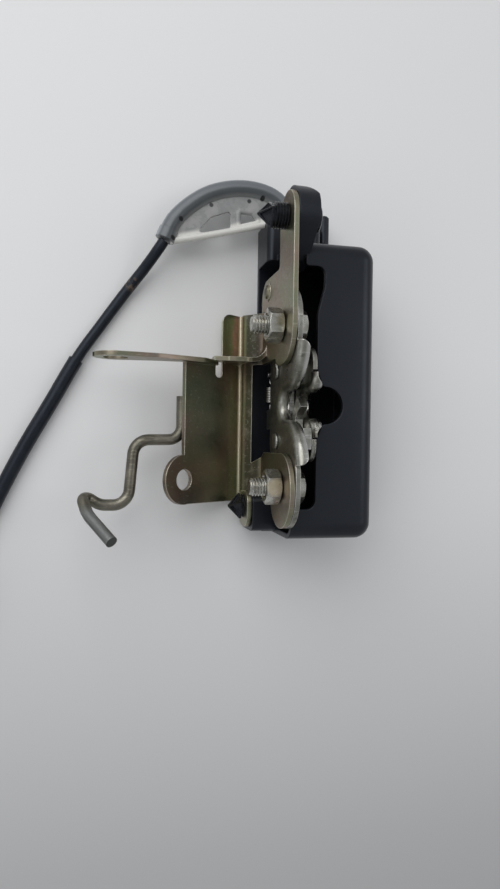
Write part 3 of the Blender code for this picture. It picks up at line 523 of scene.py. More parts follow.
# The fork that takes the striker, the pawl that holds it, and the shouldered rivets that they
# turn on: hardened steel, zinc plated, polished where they rub.
hard = Finish("catch_zinc")
round_edge = hard.soft_edges(0.4)
cloud = hard.noise(180, 4, 0.6)
marks = hard.scratches(90, 1.1, 0.58)
tone = hard.layered(hard.ramp(cloud, (0.3, (0.20, 0.195, 0.17)), (0.66, (0.52, 0.52, 0.49))),
                    (marks * 0.6, (0.76, 0.76, 0.74)), (hard.edges(round_edge) * 0.6, (0.88, 0.88, 0.86)))
catch_skin = hard.set(Base_Color=tone, Metallic=1.0, Roughness=hard.between(cloud, 0.38, 0.24),
                      Normal=hard.bump(cloud * 0.4 + marks * -0.3, 0.06, round_edge))
for name in ("fork", "pawl", "fork_pin", "pawl_pin"):
    dress(name, catch_skin)

# Two M8 hexagon bolts and their nuts, bright zinc: rolled thread on the shank's end, and
# corners turned off the hexagons.
PITCH = 1.25
BOLT_R = 4.0
THREAD_DEEP = 0.72
THREAD_END = -15.5
HEAD = (2.3, 7.6)           # ends of the bolt's head and of the nut, along the bolt
NUT = (-9.1, -2.6)
APOTHEM = 6.5
CORNER_SLOPE = 0.58         # how far a corner falls away along the bolt, for each step outwards


def threaded_shank(name, y):
    """A rolled thread, made by turning a row of teeth by one pitch a turn, then cut to length."""
    root, flank = BOLT_R - THREAD_DEEP, BOLT_R - 0.04
    tooth = [(0, root), (0.16, root), (0.56, flank), (0.64, BOLT_R), (0.76, BOLT_R), (0.84, flank)]
    teeth = math.ceil((HEAD[0] - THREAD_END) / PITCH) + 2
    mesh = bmesh.new()
    verts = [mesh.verts.new(Vector((THREAD_END + PITCH * (number - 1.5) + far, y, BOLT_Z + radius)) * MM)
             for number in range(teeth) for far, radius in tooth]
    edges = [mesh.edges.new(pair) for pair in zip(verts, verts[1:])]
    steps = 36
    bmesh.ops.spin(mesh, geom=verts + edges, cent=Vector((0, y, BOLT_Z)) * MM, axis=AXES["x"],
                   dvec=(PITCH * MM / steps, 0, 0), angle=math.tau, steps=steps, use_merge=False)
    bmesh.ops.remove_doubles(mesh, verts=mesh.verts, dist=0.000002)
    for x, side in ((THREAD_END, -1), (HEAD[0] + 0.5, 1)):
        bmesh.ops.bisect_plane(mesh, geom=mesh.verts[:] + mesh.edges[:] + mesh.faces[:], dist=0.000001,
                               plane_co=(x * MM, 0, 0), plane_no=(side, 0, 0), clear_outer=True)
    bmesh.ops.holes_fill(mesh, edges=[e for e in mesh.edges if e.is_boundary], sides=0)
    for vert in mesh.verts:
        out = Vector((0, vert.co.y - y * MM, vert.co.z - BOLT_Z * MM))
        most = (BOLT_R - 1.0) * MM + (vert.co.x - THREAD_END * MM)
        if out.length > most:
            vert.co -= out * (1 - most / out.length)
    return blank(name, mesh)


def hexagon(name, y, rings, capped):
    """Rings about a bolt's axis, each extruded from the last one. A ring is (along, radius), or
    (along, None, slope): the hexagon itself, whose corners fall away by the slope."""
    mesh = bmesh.new()
    centre = Matrix.Translation(Vector((0, y, BOLT_Z)) * MM)
    bmesh.ops.create_circle(mesh, cap_ends=False, segments=48, radius=MM,
                            matrix=centre @ Matrix.Rotation(math.pi / 2, 4, "Y"))
    edges = first = mesh.edges[:]
    verts = mesh.verts[:]
    for number, ring in enumerate(rings):
        if number:
            grown = bmesh.ops.extrude_edge_only(mesh, edges=edges)
            verts = new_verts(grown)
            fresh = set(verts)
            edges = [g for g in grown["geom"] if isinstance(g, bmesh.types.BMEdge) and set(g.verts) <= fresh]
        for vert in verts:
            angle = math.atan2(vert.co.y - y * MM, vert.co.z - BOLT_Z * MM)
            if ring[1] is None:
                turn = (angle + math.pi / 6) % (math.pi / 3) - math.pi / 6
                radius = APOTHEM / math.cos(turn)
                far = ring[0] + ring[2] * (radius - APOTHEM)
            else:
                far, radius = ring
            vert.co = Vector((far, y + radius * math.sin(angle), BOLT_Z + radius * math.cos(angle))) * MM
    if capped:
        bmesh.ops.edgeloop_fill(mesh, edges=first)
        bmesh.ops.edgeloop_fill(mesh, edges=edges)
    else:
        bmesh.ops.bridge_loops(mesh, edges=first + edges)
    return blank(name, mesh)


bright = Finish("bolt_zinc")
round_edge = bright.soft_edges(0.25)
cloud = bright.noise(260, 4, 0.6)
stain = bright.fade(bright.noise(150, 3, 0.6), 0.52, 0.66)
warm = bright.near((-5.8, BOLT_YS[1], BOLT_Z + APOTHEM), 4.6)
tone = bright.layered(bright.ramp(cloud, (0.34, (0.26, 0.255, 0.22)), (0.62, (0.60, 0.59, 0.55))),
                      (stain * 0.6, (0.20, 0.17, 0.10)), (warm * 0.6, (0.95, 0.82, 0.58)),
                      (bright.edges(round_edge) * 0.7, (0.93, 0.93, 0.91)))
bolt_skin = bright.set(Base_Color=tone, Metallic=1.0, Roughness=bright.between(cloud, 0.36, 0.22),
                       Normal=bright.bump(cloud, 0.03, round_edge))
head_rings = [(HEAD[0], 5.9), (HEAD[0] + 0.3, 6.0), (HEAD[0] + 0.3, None, 0.0),
              (HEAD[1] - 0.35, None, -CORNER_SLOPE), (HEAD[1], 6.0), (HEAD[1], 5.6)]
nut_rings = [(NUT[0], 4.9), (NUT[0], 6.2), (NUT[0] + 0.2, None, CORNER_SLOPE),
             (NUT[1] - 0.2, None, -CORNER_SLOPE), (NUT[1], 6.2), (NUT[1], 4.9),
             (NUT[1] - 0.6, BOLT_HOLE_R - 0.05), (NUT[0] + 0.6, BOLT_HOLE_R - 0.05)]
for word, y in zip(("upper", "lower"), BOLT_YS):
    bolt = hexagon("hex_bolt_" + word, y, head_rings, True)
    work(bolt, threaded_shank("shank", y), "UNION")
    fit(bolt, bolt_skin, ["bolt_" + word], 25)
    fit(hexagon("hex_nut_" + word, y, nut_rings, False), bolt_skin, ["nut_" + word], 25)

# The mounting bracket: one folded 2 mm sheet, zinc plated and then chromated to an olive yellow
# that shimmers. It has an eared hole, a bar with an eye, a strap, two tongues and a long arm.
BRACKET_T = 2.0
HALF_T = BRACKET_T / 2
TONGUE_X = -1.3             # middle of the sheet in the tongues
FLANGE_X = -9.3             # and in the flange beside the bend
BEND_Z = -0.5
FACE_LENGTH = 38.5
FACE_LOW = -43.8
FACE_HIGH = 21.0
STRAP_HIGH = 44.2
NOTCH_LEFT, NOTCH_RIGHT, NOTCH_LOW = -24.2, -20.7, 13.8
EAR_Y = -33.0
EAR_R = 11.0
EAR_HOLE_R = 4.6
EYE_X, EYE_Z = -70.0, 27.0
EYE_R = 9.5
EYE_HOLE_R = 5.5
CLIP_UP = (77.0, 51.5)      # places of the push clips across X
CLIP_LOW = (-45.5, 12.0)
CLIP_HOLE_R = 3.3
LOBE_R = 9.5                # end of the sheet round the lower clip
TAB_Y = 21.6
DOME_AT = (52.3, 22.0)
LOW_TONGUE_TOP = BOLT_YS[1] + TONGUE_R - 2.2
UP_TONGUE_LOW = PIVOT_YS[0] + 4.9
FOOT_LOW = CLIP_LOW[0] + 7.5


def face_point(far, off=0.0):
    """Point of the bracket's main face, measured from the bend, and off its front surface."""
    return (FLANGE_X - 0.8 * far + 0.6 * off, BEND_Z + 0.6 * far + 0.8 * off)


def tilted_disc(name, radius, half):
    """A disc in the plane of the bracket's main face, centred on its free edge."""
    x, z = face_point(FACE_LENGTH)
    place = Matrix.Translation(Vector((x, EAR_Y, z)) * MM) @ Matrix.Rotation(math.atan2(0.6, 0.8), 4, "Y")
    mesh = bmesh.new()
    bmesh.ops.create_cone(mesh, cap_ends=True, segments=64, radius1=radius * MM, radius2=radius * MM,
                          depth=2 * half * MM)
    bmesh.ops.transform(mesh, matrix=place, verts=mesh.verts)
    return blank(name, mesh)


fold = open_path([face_point(FACE_LENGTH), (*face_point(0), 1.5), (FLANGE_X, BEND_Z + 6, 2),
                  (TONGUE_X, BEND_Z + 14, 2), (TONGUE_X, PLATE_REAR + 1)])
bracket = stamping("folded_bracket", band(fold, HALF_T, -HALF_T), "y", FACE_LOW, STRAP_HIGH + 1)
trim = FLANGE_X + 3.0
cut(bracket, "recess", [(LOW_TONGUE_TOP - 5, 4), (UP_TONGUE_LOW, 4), (UP_TONGUE_LOW, 24),
                        (LOW_TONGUE_TOP, 24), (LOW_TONGUE_TOP, 17), (LOW_TONGUE_TOP - 5, 10)],
    "x", trim, 2)
cut(bracket, "foot", [(FACE_LOW - 1, 4), (FOOT_LOW, 4), (FOOT_LOW, 24), (FACE_LOW - 1, 24)], "x", trim, 2)
cut(bracket, "strap", rounded([(-50, FACE_HIGH, 0), (NOTCH_LEFT, FACE_HIGH, 2), (NOTCH_LEFT, NOTCH_LOW, 1.7),
                               (NOTCH_RIGHT, NOTCH_LOW, 1.7), (NOTCH_RIGHT, STRAP_HIGH, 4.5),
                               (5, STRAP_HIGH, 0), (5, STRAP_HIGH + 5, 0), (-50, STRAP_HIGH + 5, 0)]),
    "z", -5, 40)
tongue_low, tongue_high = TONGUE_X - HALF_T, TONGUE_X + HALF_T
tongue_rear = BEND_Z + 16.5
arm_top = CLIP_UP[0] + 10.4
arm_rear = PLATE_FRONT - 20.8
upper_rear = BOLT_YS[0] - TONGUE_R
upper_tongue = rounded([(arm_top, PLATE_FRONT, 10.3), (arm_top, arm_rear, 10.3), (58, arm_rear, 2),
                        (58, 10.6, 9), (STRAP_HIGH + 0.4, 10.6, 1), (STRAP_HIGH + 0.4, tongue_rear, 0),
                        (UP_TONGUE_LOW, tongue_rear, 2), (UP_TONGUE_LOW, PIVOT_Z + 4.5, 3),
                        (upper_rear, PIVOT_Z + 7.5, 4), (upper_rear, PLATE_FRONT, TONGUE_R - 1)])
add(bracket, "upper_tongue", upper_tongue, "x", tongue_low, tongue_high,
    [bolt_holes[0], circle(*CLIP_UP, CLIP_HOLE_R)])
lower_tongue = rounded([(low_end, PLATE_FRONT, TONGUE_CORNER), (low_end, tongue_back, TONGUE_CORNER),
                        (FOOT_LOW, tongue_back, 3), (FOOT_LOW, tongue_rear, 1),
                        (LOW_TONGUE_TOP, tongue_rear, 2), (LOW_TONGUE_TOP, PLATE_FRONT, TONGUE_R - 1)])
add(bracket, "lower_tongue", lower_tongue, "x", tongue_low, tongue_high, [bolt_holes[1]])
lobe_low, lobe_high = CLIP_LOW[0] - LOBE_R, CLIP_LOW[1] + LOBE_R
add(bracket, "lobe", rounded([(FOOT_LOW - 1, 2, 0), (lobe_low, 2, 8), (lobe_low, lobe_high, 8),
                              (FOOT_LOW - 1, lobe_high, 5)]), "x", FLANGE_X - HALF_T, FLANGE_X + HALF_T)
work(bracket, tilted_disc("ear", EAR_R, HALF_T), "UNION")
work(bracket, tilted_disc("ear_hole", EAR_HOLE_R, 6))
bar = rounded([(*face_point(20, -HALF_T), 0), (*face_point(FACE_LENGTH, -HALF_T), 2),
               (EYE_X + 16, EYE_Z - 5.5, 6), (EYE_X - EYE_R, EYE_Z - EYE_R, EYE_R - 0.1),
               (EYE_X - EYE_R, EYE_Z + EYE_R, EYE_R - 0.1), (EYE_X + 18, EYE_Z + 5.5, 8),
               (*face_point(32, 7), 5), (*face_point(20, 4), 2)])
add(bracket, "bar", bar, "y", FACE_HIGH - BRACKET_T, FACE_HIGH, [circle(EYE_X, EYE_Z, EYE_HOLE_R)])
tab = open_path([(NOTCH_LEFT - 2, TAB_Y), (TONGUE_X, TAB_Y, 7.5), (TONGUE_X, TAB_Y + 10)])
add(bracket, "tab", band(tab, HALF_T, -HALF_T), "z", 12.4, 20.5)
add(bracket, "tab_foot", [(NOTCH_RIGHT + 1, 9), (-11, 2), (-11, 21), (NOTCH_RIGHT + 1, 21)],
    "y", TAB_Y - HALF_T, TAB_Y + HALF_T)
dome = turned("dome", [(TONGUE_X, 4.2), (-2.7, 4.2), (-2.8, 3.3), (-3.7, 2.6), (-4.1, 1.0)], "x", DOME_AT)
work(bracket, dome, "UNION")
drill(bracket, "x", CLIP_LOW, CLIP_HOLE_R, -14, -5)

olive = Finish("olive_zinc")
round_edge = olive.soft_edges(0.5)
drift = olive.noise(38, 4, 0.6)
fine = olive.noise(420, 4, 0.65)
marks = olive.scratches(45, 0.25, 0.6)
where = olive.fade(olive.axis("X") + drift * 0.010, -0.038, -0.001)
bands = olive.ramp(where, (0.0, (0.12, 0.124, 0.10)), (0.38, (0.33, 0.335, 0.27)), (0.62, (0.35, 0.31, 0.23)),
                   (0.74, (0.38, 0.29, 0.24)), (0.80, (0.20, 0.18, 0.13)), (1.0, (0.20, 0.187, 0.14)))
shimmer = olive.ramp(drift, (0.30, (0.30, 0.42, 0.26)), (0.45, (0.44, 0.43, 0.28)),
                     (0.6, (0.52, 0.34, 0.28)), (0.75, (0.36, 0.38, 0.36)))
strap_bands = olive.ramp(where, (0.2, (0.27, 0.33, 0.20)), (0.84, (0.32, 0.35, 0.21)),
                         (0.90, (0.60, 0.36, 0.32)), (0.97, (0.27, 0.27, 0.18)))
on_strap = olive.past("Y", 21, 30) * (1 - olive.past("X", -6, -4))
# The joggle between the flange and the tongues is painted nearly black: painted shade where the mechanism
# shades it.
joggle_painted_shade = olive.strip("X", -9.4, -8.4, -4.2, -2.8)
# A light streak is painted along the bend of the sheet: a painted highlight.
bend_painted_highlight = olive.strip("X", -11.9, -11.1, -10.6, -10.1)
blotch = olive.fade(olive.noise(150, 5, 0.7), 0.5, 0.66)
tone = olive.layered(
    bands, (0.35, shimmer), (on_strap * 0.95, strap_bands),
    (olive.fade(fine, 0.55, 0.75) * 0.35, (0.16, 0.15, 0.10)), (joggle_painted_shade * 0.75, (0.060, 0.058, 0.044)),
    (bend_painted_highlight * 0.7, (0.86, 0.80, 0.66)), (blotch * where * 0.45, (0.36, 0.34, 0.28)),
    (marks * 0.4, (0.58, 0.56, 0.47)), (olive.edges(round_edge) * 0.75, (0.82, 0.79, 0.68)))
olive_skin = olive.set(Base_Color=tone, Metallic=1.0, Roughness=olive.between(fine, 0.30, 0.42),
                       Normal=olive.bump(fine * 0.5 + marks * -0.3, 0.05, round_edge))
fit(bracket, olive_skin, ["bracket"])

# The wire hook: 5 mm round bar, bent cold and welded behind the sheet's free edge, with the same
# plating, scratched along its length and cut off square.
ROD_R = 2.5
BEND_STEP = 7               # degrees of turn for each facet of a bend


def bent_route(corners):
    """Straight runs joined by bends: corners are (x, y, z, bend radius)."""
    route = []
    for i, (x, y, z, radius) in enumerate(corners):
        corner = Vector((x, y, z))
        if radius <= 0:
            route.append(corner)
            continue
        before = (Vector(corners[i - 1][:3]) - corner).normalized()
        after = (Vector(corners[i + 1][:3]) - corner).normalized()
        opening = before.angle(after)
        centre = corner + (before + after).normalized() * (radius / math.sin(opening / 2))
        first = corner + before * radius / math.tan(opening / 2) - centre
        axis = before.cross(first).normalized()
        turn = math.pi - opening
        steps = max(3, round(math.degrees(turn) / BEND_STEP))
        for k in range(steps + 1):
            route.append(centre + Matrix.Rotation(turn * k / steps, 3, axis) @ first)
    return route


def smooth_route(points, step):
    """Points at an even step along a smooth curve through the given ones."""
    dense = []
    count = len(points)
    for i in range(count - 1):
        p0, p1 = Vector(points[max(i - 1, 0)]), Vector(points[i])
        p2, p3 = Vector(points[i + 1]), Vector(points[min(i + 2, count - 1)])
        for k in range(24):
            t = k / 24
            dense.append(0.5 * ((2 * p1) + (p2 - p0) * t + (2 * p0 - 5 * p1 + 4 * p2 - p3) * t * t
                                + (3 * p1 - p0 - 3 * p2 + p3) * t ** 3))
    dense.append(Vector(points[-1]))
    lengths = [0.0]
    for before, after in zip(dense, dense[1:]):
        lengths.append(lengths[-1] + (after - before).length)
    pieces = max(2, round(lengths[-1] / step))
    route = []
    j = 0
    for i in range(pieces + 1):
        goal = lengths[-1] * i / pieces
        while j < len(lengths) - 2 and lengths[j + 1] < goal:
            j += 1
        part = (goal - lengths[j]) / max(lengths[j + 1] - lengths[j], 1e-9)
        route.append(dense[j].lerp(dense[j + 1], min(part, 1)))
    return route


def wire(name, route, radius, resolution, closed=False):
    """A round bar or cord along a route, as a curve."""
    curve = bpy.data.curves.new(name, "CURVE")
    curve.dimensions = "3D"
    curve.bevel_depth = radius * MM
    curve.bevel_resolution = resolution
    curve.use_fill_caps = True
    spline = curve.splines.new("POLY")
    spline.points.add(len(route) - 1)
    spline.use_cyclic_u = closed
    for point, place in zip(spline.points, route):
        point.co = (*(Vector(place) * MM), 1)
    item = bpy.data.objects.new(name, curve)
    bpy.context.collection.objects.link(item)
    return item


def drawn(name, route, radius, resolution, closed=False):
    """The same, as a closed mesh."""
    curve = wire(name + "_line", route, radius, resolution, closed)
    data = bpy.data.meshes.new_from_object(curve.evaluated_get(bpy.context.evaluated_depsgraph_get()))
    bpy.data.objects.remove(curve)
    mesh = bmesh.new()
    mesh.from_mesh(data)
    bmesh.ops.remove_doubles(mesh, verts=mesh.verts, dist=0.000005)
    return blank(name, mesh)


rod_off = -HALF_T - ROD_R - 0.3
rod_x, rod_z = face_point(FACE_LENGTH - 0.8, rod_off)
run_x, run_z = face_point(FACE_LENGTH - 2.6, rod_off)
rod_end = Vector((rod_x - 29.1, -56.7, rod_z + 26.4))
rod_route = bent_route([(run_x, 4, run_z, 0), (run_x, -15.2, run_z, 6), (rod_x - 19.5, -15.8, rod_z + 2, 7),
                        (rod_x - 21.9, -44.0, rod_z + 2.9, 7), (rod_x - 33.8, -43.9, rod_z + 4.3, 9),
                        (rod_x - 41.8, -38.7, rod_z + 5.6, 3.0), (rod_x - 38.9, -46.8, rod_z + 13.7, 20),
                        (*rod_end, 0)])
rod = Finish("rod_zinc")
grain = rod.noise(500, 4, 0.7)
marks = rod.scratches(70, 0.9, 0.56)
bare = (1 - rod.past("Y", -47, -42)) * rod.past("Z", 29, 33)
ahead = (rod_route[-1] - rod_route[-2]).normalized()
reach = rod.node("ShaderNodeVectorMath", {"operation": "DOT_PRODUCT"}, {0: rod.place, 1: tuple(ahead)},
                 "Value")
sawn = rod.fade(reach, (rod_end.dot(ahead) - 0.12) * MM, (rod_end.dot(ahead) - 0.05) * MM)
tone = rod.layered(
    rod.ramp(rod.noise(90, 4, 0.6), (0.32, (0.10, 0.094, 0.075)), (0.5, (0.19, 0.18, 0.145)),
             (0.68, (0.29, 0.27, 0.225))),
    (marks * 0.22, (0.52, 0.48, 0.38)), (bare * 0.7, (0.27, 0.285, 0.29)), (sawn, (0.10, 0.105, 0.10)))
rod_skin = rod.set(Base_Color=tone, Metallic=1.0, Roughness=rod.between(grain, 0.30, 0.46),
                   Normal=rod.bump(grain * 0.6 + marks * -0.1, 0.07, rod.soft_edges(0.5)))
fit(drawn("wire_hook", rod_route, ROD_R, 8), rod_skin, ["hook_rod"], 50)

# The cover: one black moulding, fine grained, clipped to the bracket. A slot and a round bay let
# the striker in, an ear and an arm take the push clips, and a tower holds the cable guide.
COVER_LEFT = 2.4
COVER_RIGHT = 39.6
COVER_LOW = -57.0
COVER_HIGH = 70.0
COVER_FRONT = 47.7
COVER_WALL = 2.4
REAR_LEFT = -2.2
SILL_HIGH = 43.5            # the back wall reaches the bracket's flange up to here
WINDOW_X = 13.0
WINDOW_LOW = -44.0
WINDOW_HIGH = COVER_HIGH - 11.2
KEYHOLE_X = 16.7
KEYHOLE_R = 8.0
EAR_RIGHT = 9.0
EAR_HIGH = CLIP_UP[0] + 13.4
EAR_FRONT = PLATE_FRONT - 0.5
TOWER_RIGHT = 24.0
TOWER_HIGH = 86.0
TOWER_DEEP = 20.0
POST_AT = (27.6, 10.0)
GUIDE_AT = (10.5, 12.0)
GUIDE_HOLE_R = 3.95


def tub(name, left, inset, corner, edge):
    """A block with rounded upright corners on its far side, and its front edges rounded over."""
    far, front = COVER_RIGHT - inset, COVER_FRONT - inset
    low, high = COVER_LOW + inset, COVER_HIGH - inset
    centre = Vector((far + left, high + low, front + inset)) * MM / 2
    mesh = bmesh.new()
    bmesh.ops.create_cube(mesh, size=MM)
    bmesh.ops.scale(mesh, vec=(far - left, high - low, front - inset), verts=mesh.verts)
    bmesh.ops.translate(mesh, vec=centre, verts=mesh.verts)
    upright = [e for e in mesh.edges
               if abs(e.verts[0].co.z - e.verts[1].co.z) > MM and e.verts[0].co.x > centre.x]
    soften(mesh, upright, corner, 8)
    rim = [e for e in mesh.edges if min(v.co.z for v in e.verts) > (front - 0.01) * MM
           and max(v.co.x for v in e.verts) > centre.x]
    soften(mesh, rim, edge, 8)
    return blank(name, mesh)


cover = tub("moulded_cover", COVER_LEFT, 0, 7.0, 6.6)
add(cover, "rear_wall", [(REAR_LEFT, COVER_LOW), (COVER_LEFT + 3, COVER_LOW), (COVER_LEFT + 3, COVER_HIGH),
                         (REAR_LEFT, COVER_HIGH)], "z", 0, PLATE_REAR - 4)
add(cover, "tower", rounded([(REAR_LEFT, 0, 0), (TOWER_RIGHT, 0, 2), (TOWER_RIGHT, TOWER_DEEP, 5),
                             (REAR_LEFT, TOWER_DEEP, 3)]), "y", COVER_HIGH - 5, TOWER_HIGH)
work(cover, tub("hollow", -22, COVER_WALL, 4.0, 3.6))
flange = FLANGE_X + HALF_T + 0.3
low_edge, arm_high = COVER_LOW + 0.5, CLIP_LOW[0] + 5.5
add(cover, "sill", [(flange, low_edge), (COVER_LEFT, low_edge), (COVER_LEFT, SILL_HIGH), (flange, SILL_HIGH)],
    "z", 0, COVER_WALL)
clip_arm = rounded([(low_edge, 0.5, 2), (low_edge, 22, 4), (arm_high, 22, 4), (arm_high, 0.5, 2)])
add(cover, "clip_arm", clip_arm, "x", flange, COVER_LEFT + 2)
work(cover, turned("post", [(COVER_HIGH - COVER_WALL, 2.6), (92.2, 2.6), (93, 1.8)], "y", POST_AT), "UNION")
bay = KEYHOLE_R + 6.5
bay_end = KEYHOLE_X + KEYHOLE_R
slot_right = EAR_RIGHT - 1.5
window = rounded([(-20, WINDOW_LOW, 0), (WINDOW_X, WINDOW_LOW, 4), (WINDOW_X, -bay, 1),
                  (KEYHOLE_X - 1, -KEYHOLE_R, 2), (bay_end, -KEYHOLE_R, KEYHOLE_R - 0.1),
                  (bay_end, KEYHOLE_R, KEYHOLE_R - 0.1), (KEYHOLE_X - 1, KEYHOLE_R, 2), (WINDOW_X, bay, 1),
                  (WINDOW_X, WINDOW_HIGH - 20, 8), (WINDOW_X + 3, WINDOW_HIGH - 8, 8),
                  (WINDOW_X + 3, WINDOW_HIGH, 3.5), (slot_right, WINDOW_HIGH, 1),
                  (slot_right, COVER_HIGH + 3, 0), (-20, COVER_HIGH + 3, 0)])
cut(cover, "window", window, "z", COVER_FRONT - 9, COVER_FRONT + 12)
ear = stamping("ear", rounded([(COVER_HIGH - 12, EAR_FRONT - 26, 2), (EAR_HIGH, EAR_FRONT - 26.2, 13),
                               (EAR_HIGH, EAR_FRONT, 13), (CLIP_UP[0] - 3, EAR_FRONT, 5),
                               (COVER_HIGH - 9, COVER_FRONT - 3, 2), (COVER_HIGH - 12, COVER_FRONT - 8, 1)]),
               "x", 0, EAR_RIGHT)
ear_round = rounded([(-2, 40, 0), (-2, EAR_HIGH + 2, 0), (0.8, EAR_HIGH + 2, 0), (1.6, EAR_HIGH - 0.4, 1),
                     (EAR_RIGHT + 1, EAR_HIGH - 3.2, 9), (EAR_RIGHT + 1, 40, 0)])
work(ear, stamping("ear_round", ear_round, "z", 20, 70), "INTERSECT")
work(cover, ear, "UNION")
drill(cover, "x", CLIP_UP, CLIP_HOLE_R, -5, EAR_RIGHT + 5)
drill(cover, "x", CLIP_LOW, CLIP_HOLE_R, -15, COVER_LEFT + 5)
drill(cover, "y", GUIDE_AT, GUIDE_HOLE_R, TOWER_HIGH - 9, TOWER_HIGH + 2)

black = Finish("cover_black")
round_edge = black.soft_edges(0.9)
rub = black.noise(55, 4, 0.6)
dust = black.fade(black.noise(2200, 1, 0.5), 0.70, 0.78)
tone = black.layered(black.between(rub, (0.0065, 0.0072, 0.0098), (0.0105, 0.0113, 0.0143)),
                     (black.edges(round_edge, 3.0) * 0.5, (0.035, 0.037, 0.042)),
                     (dust * 0.25, (0.09, 0.09, 0.09)))
cover_skin = black.set(Base_Color=tone, Specular_IOR_Level=0.40, Specular_Tint=(0.80, 0.88, 1.0),
                       Roughness=black.between(rub, 0.38, 0.30),
                       Normal=black.bump(black.noise(1500, 3, 0.6), 0.02, round_edge))
fit(cover, cover_skin, ["cover"])

# The push clips: black nylon pins with a flat cap, a ribbed barrel and a four sided arrow that
# is hollowed on each side, so that it springs through its hole.
CLIP_R = 3.0
CAP_R = 6.0
RIB_R = 5.4
BARREL_R = 4.6
RIB_PITCH = 1.3
ARROW_R = 6.1
ARROW_TURN = math.radians(15)
SIDE_AREA = 15e-6           # square metres: the arrow's four sides are larger than this


def push_clip(name, y, z, cap, root, barrel, reach):
    """A turned pin with ribs on its barrel, joined to an arrow whose sides are hollowed."""
    head = root - barrel
    profile = [(cap + 2.0, CAP_R - 1), (cap + 1.5, CAP_R - 0.3), (cap + 0.9, CAP_R), (cap, CAP_R),
               (cap, CLIP_R), (root, CLIP_R)]
    ribs = max(1, round(barrel / RIB_PITCH))
    step = barrel / ribs
    for k in range(ribs):
        start = root - step * k
        profile += [(start, BARREL_R + 0.1), (start - step * 0.15, RIB_R), (start - step * 0.5, RIB_R),
                    (start - step * 0.7, BARREL_R)]
    pin = turned(name, profile + [(head - 0.5, BARREL_R)], "x", (y, z), 36)
    cone = reach - 1
    place = Matrix.Translation(Vector((head - 1 - cone / 2, y, z)) * MM)
    turn = Matrix.Rotation(-math.pi / 2, 4, "Y") @ Matrix.Rotation(ARROW_TURN, 4, "Z")
    mesh = bmesh.new()
    bmesh.ops.create_cone(mesh, cap_ends=True, segments=4, radius1=ARROW_R * MM, radius2=0.5 * MM,
                          depth=cone * MM)
    bmesh.ops.transform(mesh, matrix=place @ turn, verts=mesh.verts)
    base = [f for f in mesh.faces if f.normal.x > 0.9]
    grown = bmesh.ops.extrude_face_region(mesh, geom=base)
    bmesh.ops.translate(mesh, verts=new_verts(grown), vec=(MM, 0, 0))
    bmesh.ops.delete(mesh, geom=base, context="FACES")
    sides = [f for f in mesh.faces if abs(f.normal.x) < 0.85 and f.calc_area() > SIDE_AREA]
    bmesh.ops.inset_individual(mesh, faces=sides, thickness=0.9 * MM, depth=0)
    bmesh.ops.inset_individual(mesh, faces=sides, thickness=0.45 * MM, depth=-1.0 * MM)
    soften(mesh, [e for e in mesh.edges if e.calc_face_angle(0) > 0.9], 0.18, 2)
    return work(pin, blank("arrow", mesh), "UNION")


nylon = Finish("clip_black")
round_edge = nylon.soft_edges(0.2)
scuff = nylon.noise(300, 4, 0.6)
tone = nylon.layered(nylon.between(scuff, (0.004, 0.004, 0.005), (0.009, 0.009, 0.011)),
                     (nylon.edges(round_edge, 4.0) * 0.6, (0.09, 0.09, 0.095)))
clip_skin = nylon.set(Base_Color=tone, Specular_IOR_Level=0.32, Specular_Tint=(0.80, 0.88, 1.0),
                      Roughness=nylon.between(scuff, 0.20, 0.12),
                      Normal=nylon.bump(scuff, 0.03, round_edge))
upper_clip = push_clip("arrow_clip_upper", *CLIP_UP, EAR_RIGHT + 0.3, TONGUE_X - HALF_T - 0.3, 6.2, 6.3)
lower_clip = push_clip("arrow_clip_lower", *CLIP_LOW, COVER_LEFT + 2.3, FLANGE_X - HALF_T - 0.3, 0.9, 6.1)
fit(upper_clip, clip_skin, ["push_clip_upper"], 25)
fit(lower_clip, clip_skin, ["push_clip_lower"], 25)

# The cable guide: a translucent grey nylon elbow that turns the cable out of the cover. The
# tube is braced by a clearer web with two windows and a bright lower rib.
GUIDE_Z = 12.0
GUIDE_R = 4.0
WEB_HALF = 0.9
DIMPLE_R = 1.25
GUIDE_BEND = [(-48.6, 75.2), (-44.2, 84.6), (-36.2, 92.6), (-27.2, 98.2), (-16.2, 101.3), (-5.6, 101.3),
              (2.6, 98.6), (8.2, 93.2), (10.5, 87.4), (10.5, 84.0), (10.5, 78.0)]
DIMPLES = [(-41.6, 84.2, 0), (-27.6, 92.6, 0), (-9.8, 96.0, 0), (-3.7, 97.4, 0), (-45.1, 75.4, 0)]


def dimples(finish):
    """Dark spots, seen from the front, where the mould's pins stood."""
    flat = finish.stretched(1, 1, 0)
    return sum(finish.near(point, DIMPLE_R, flat) for point in DIMPLES)


guide_route = smooth_route([(x, y, GUIDE_Z) for x, y in GUIDE_BEND], 2.5)
guide_tube = drawn("guide_tube", guide_route, GUIDE_R, 8)
work(guide_tube, drawn("guide_collar", guide_route[:3], GUIDE_R + 0.5, 8), "UNION")
inward = guide_tube.data.attributes.new("inward", "FLOAT", "POINT")
for vert, value in zip(guide_tube.data.vertices, inward.data):
    place = vert.co / MM
    nearest = min(range(1, len(guide_route) - 1), key=lambda i: (guide_route[i] - place).length)
    ahead = (guide_route[nearest + 1] - guide_route[nearest - 1]).normalized()
    value.value = (place - guide_route[nearest]).dot(Vector((ahead.y, -ahead.x, 0))) / GUIDE_R
smoke = Finish("smoke_nylon")
side = smoke.node("ShaderNodeAttribute", {"attribute_name": "inward"}, {}, "Fac")
mist = smoke.noise(120, 3, 0.5)
spots = dimples(smoke)
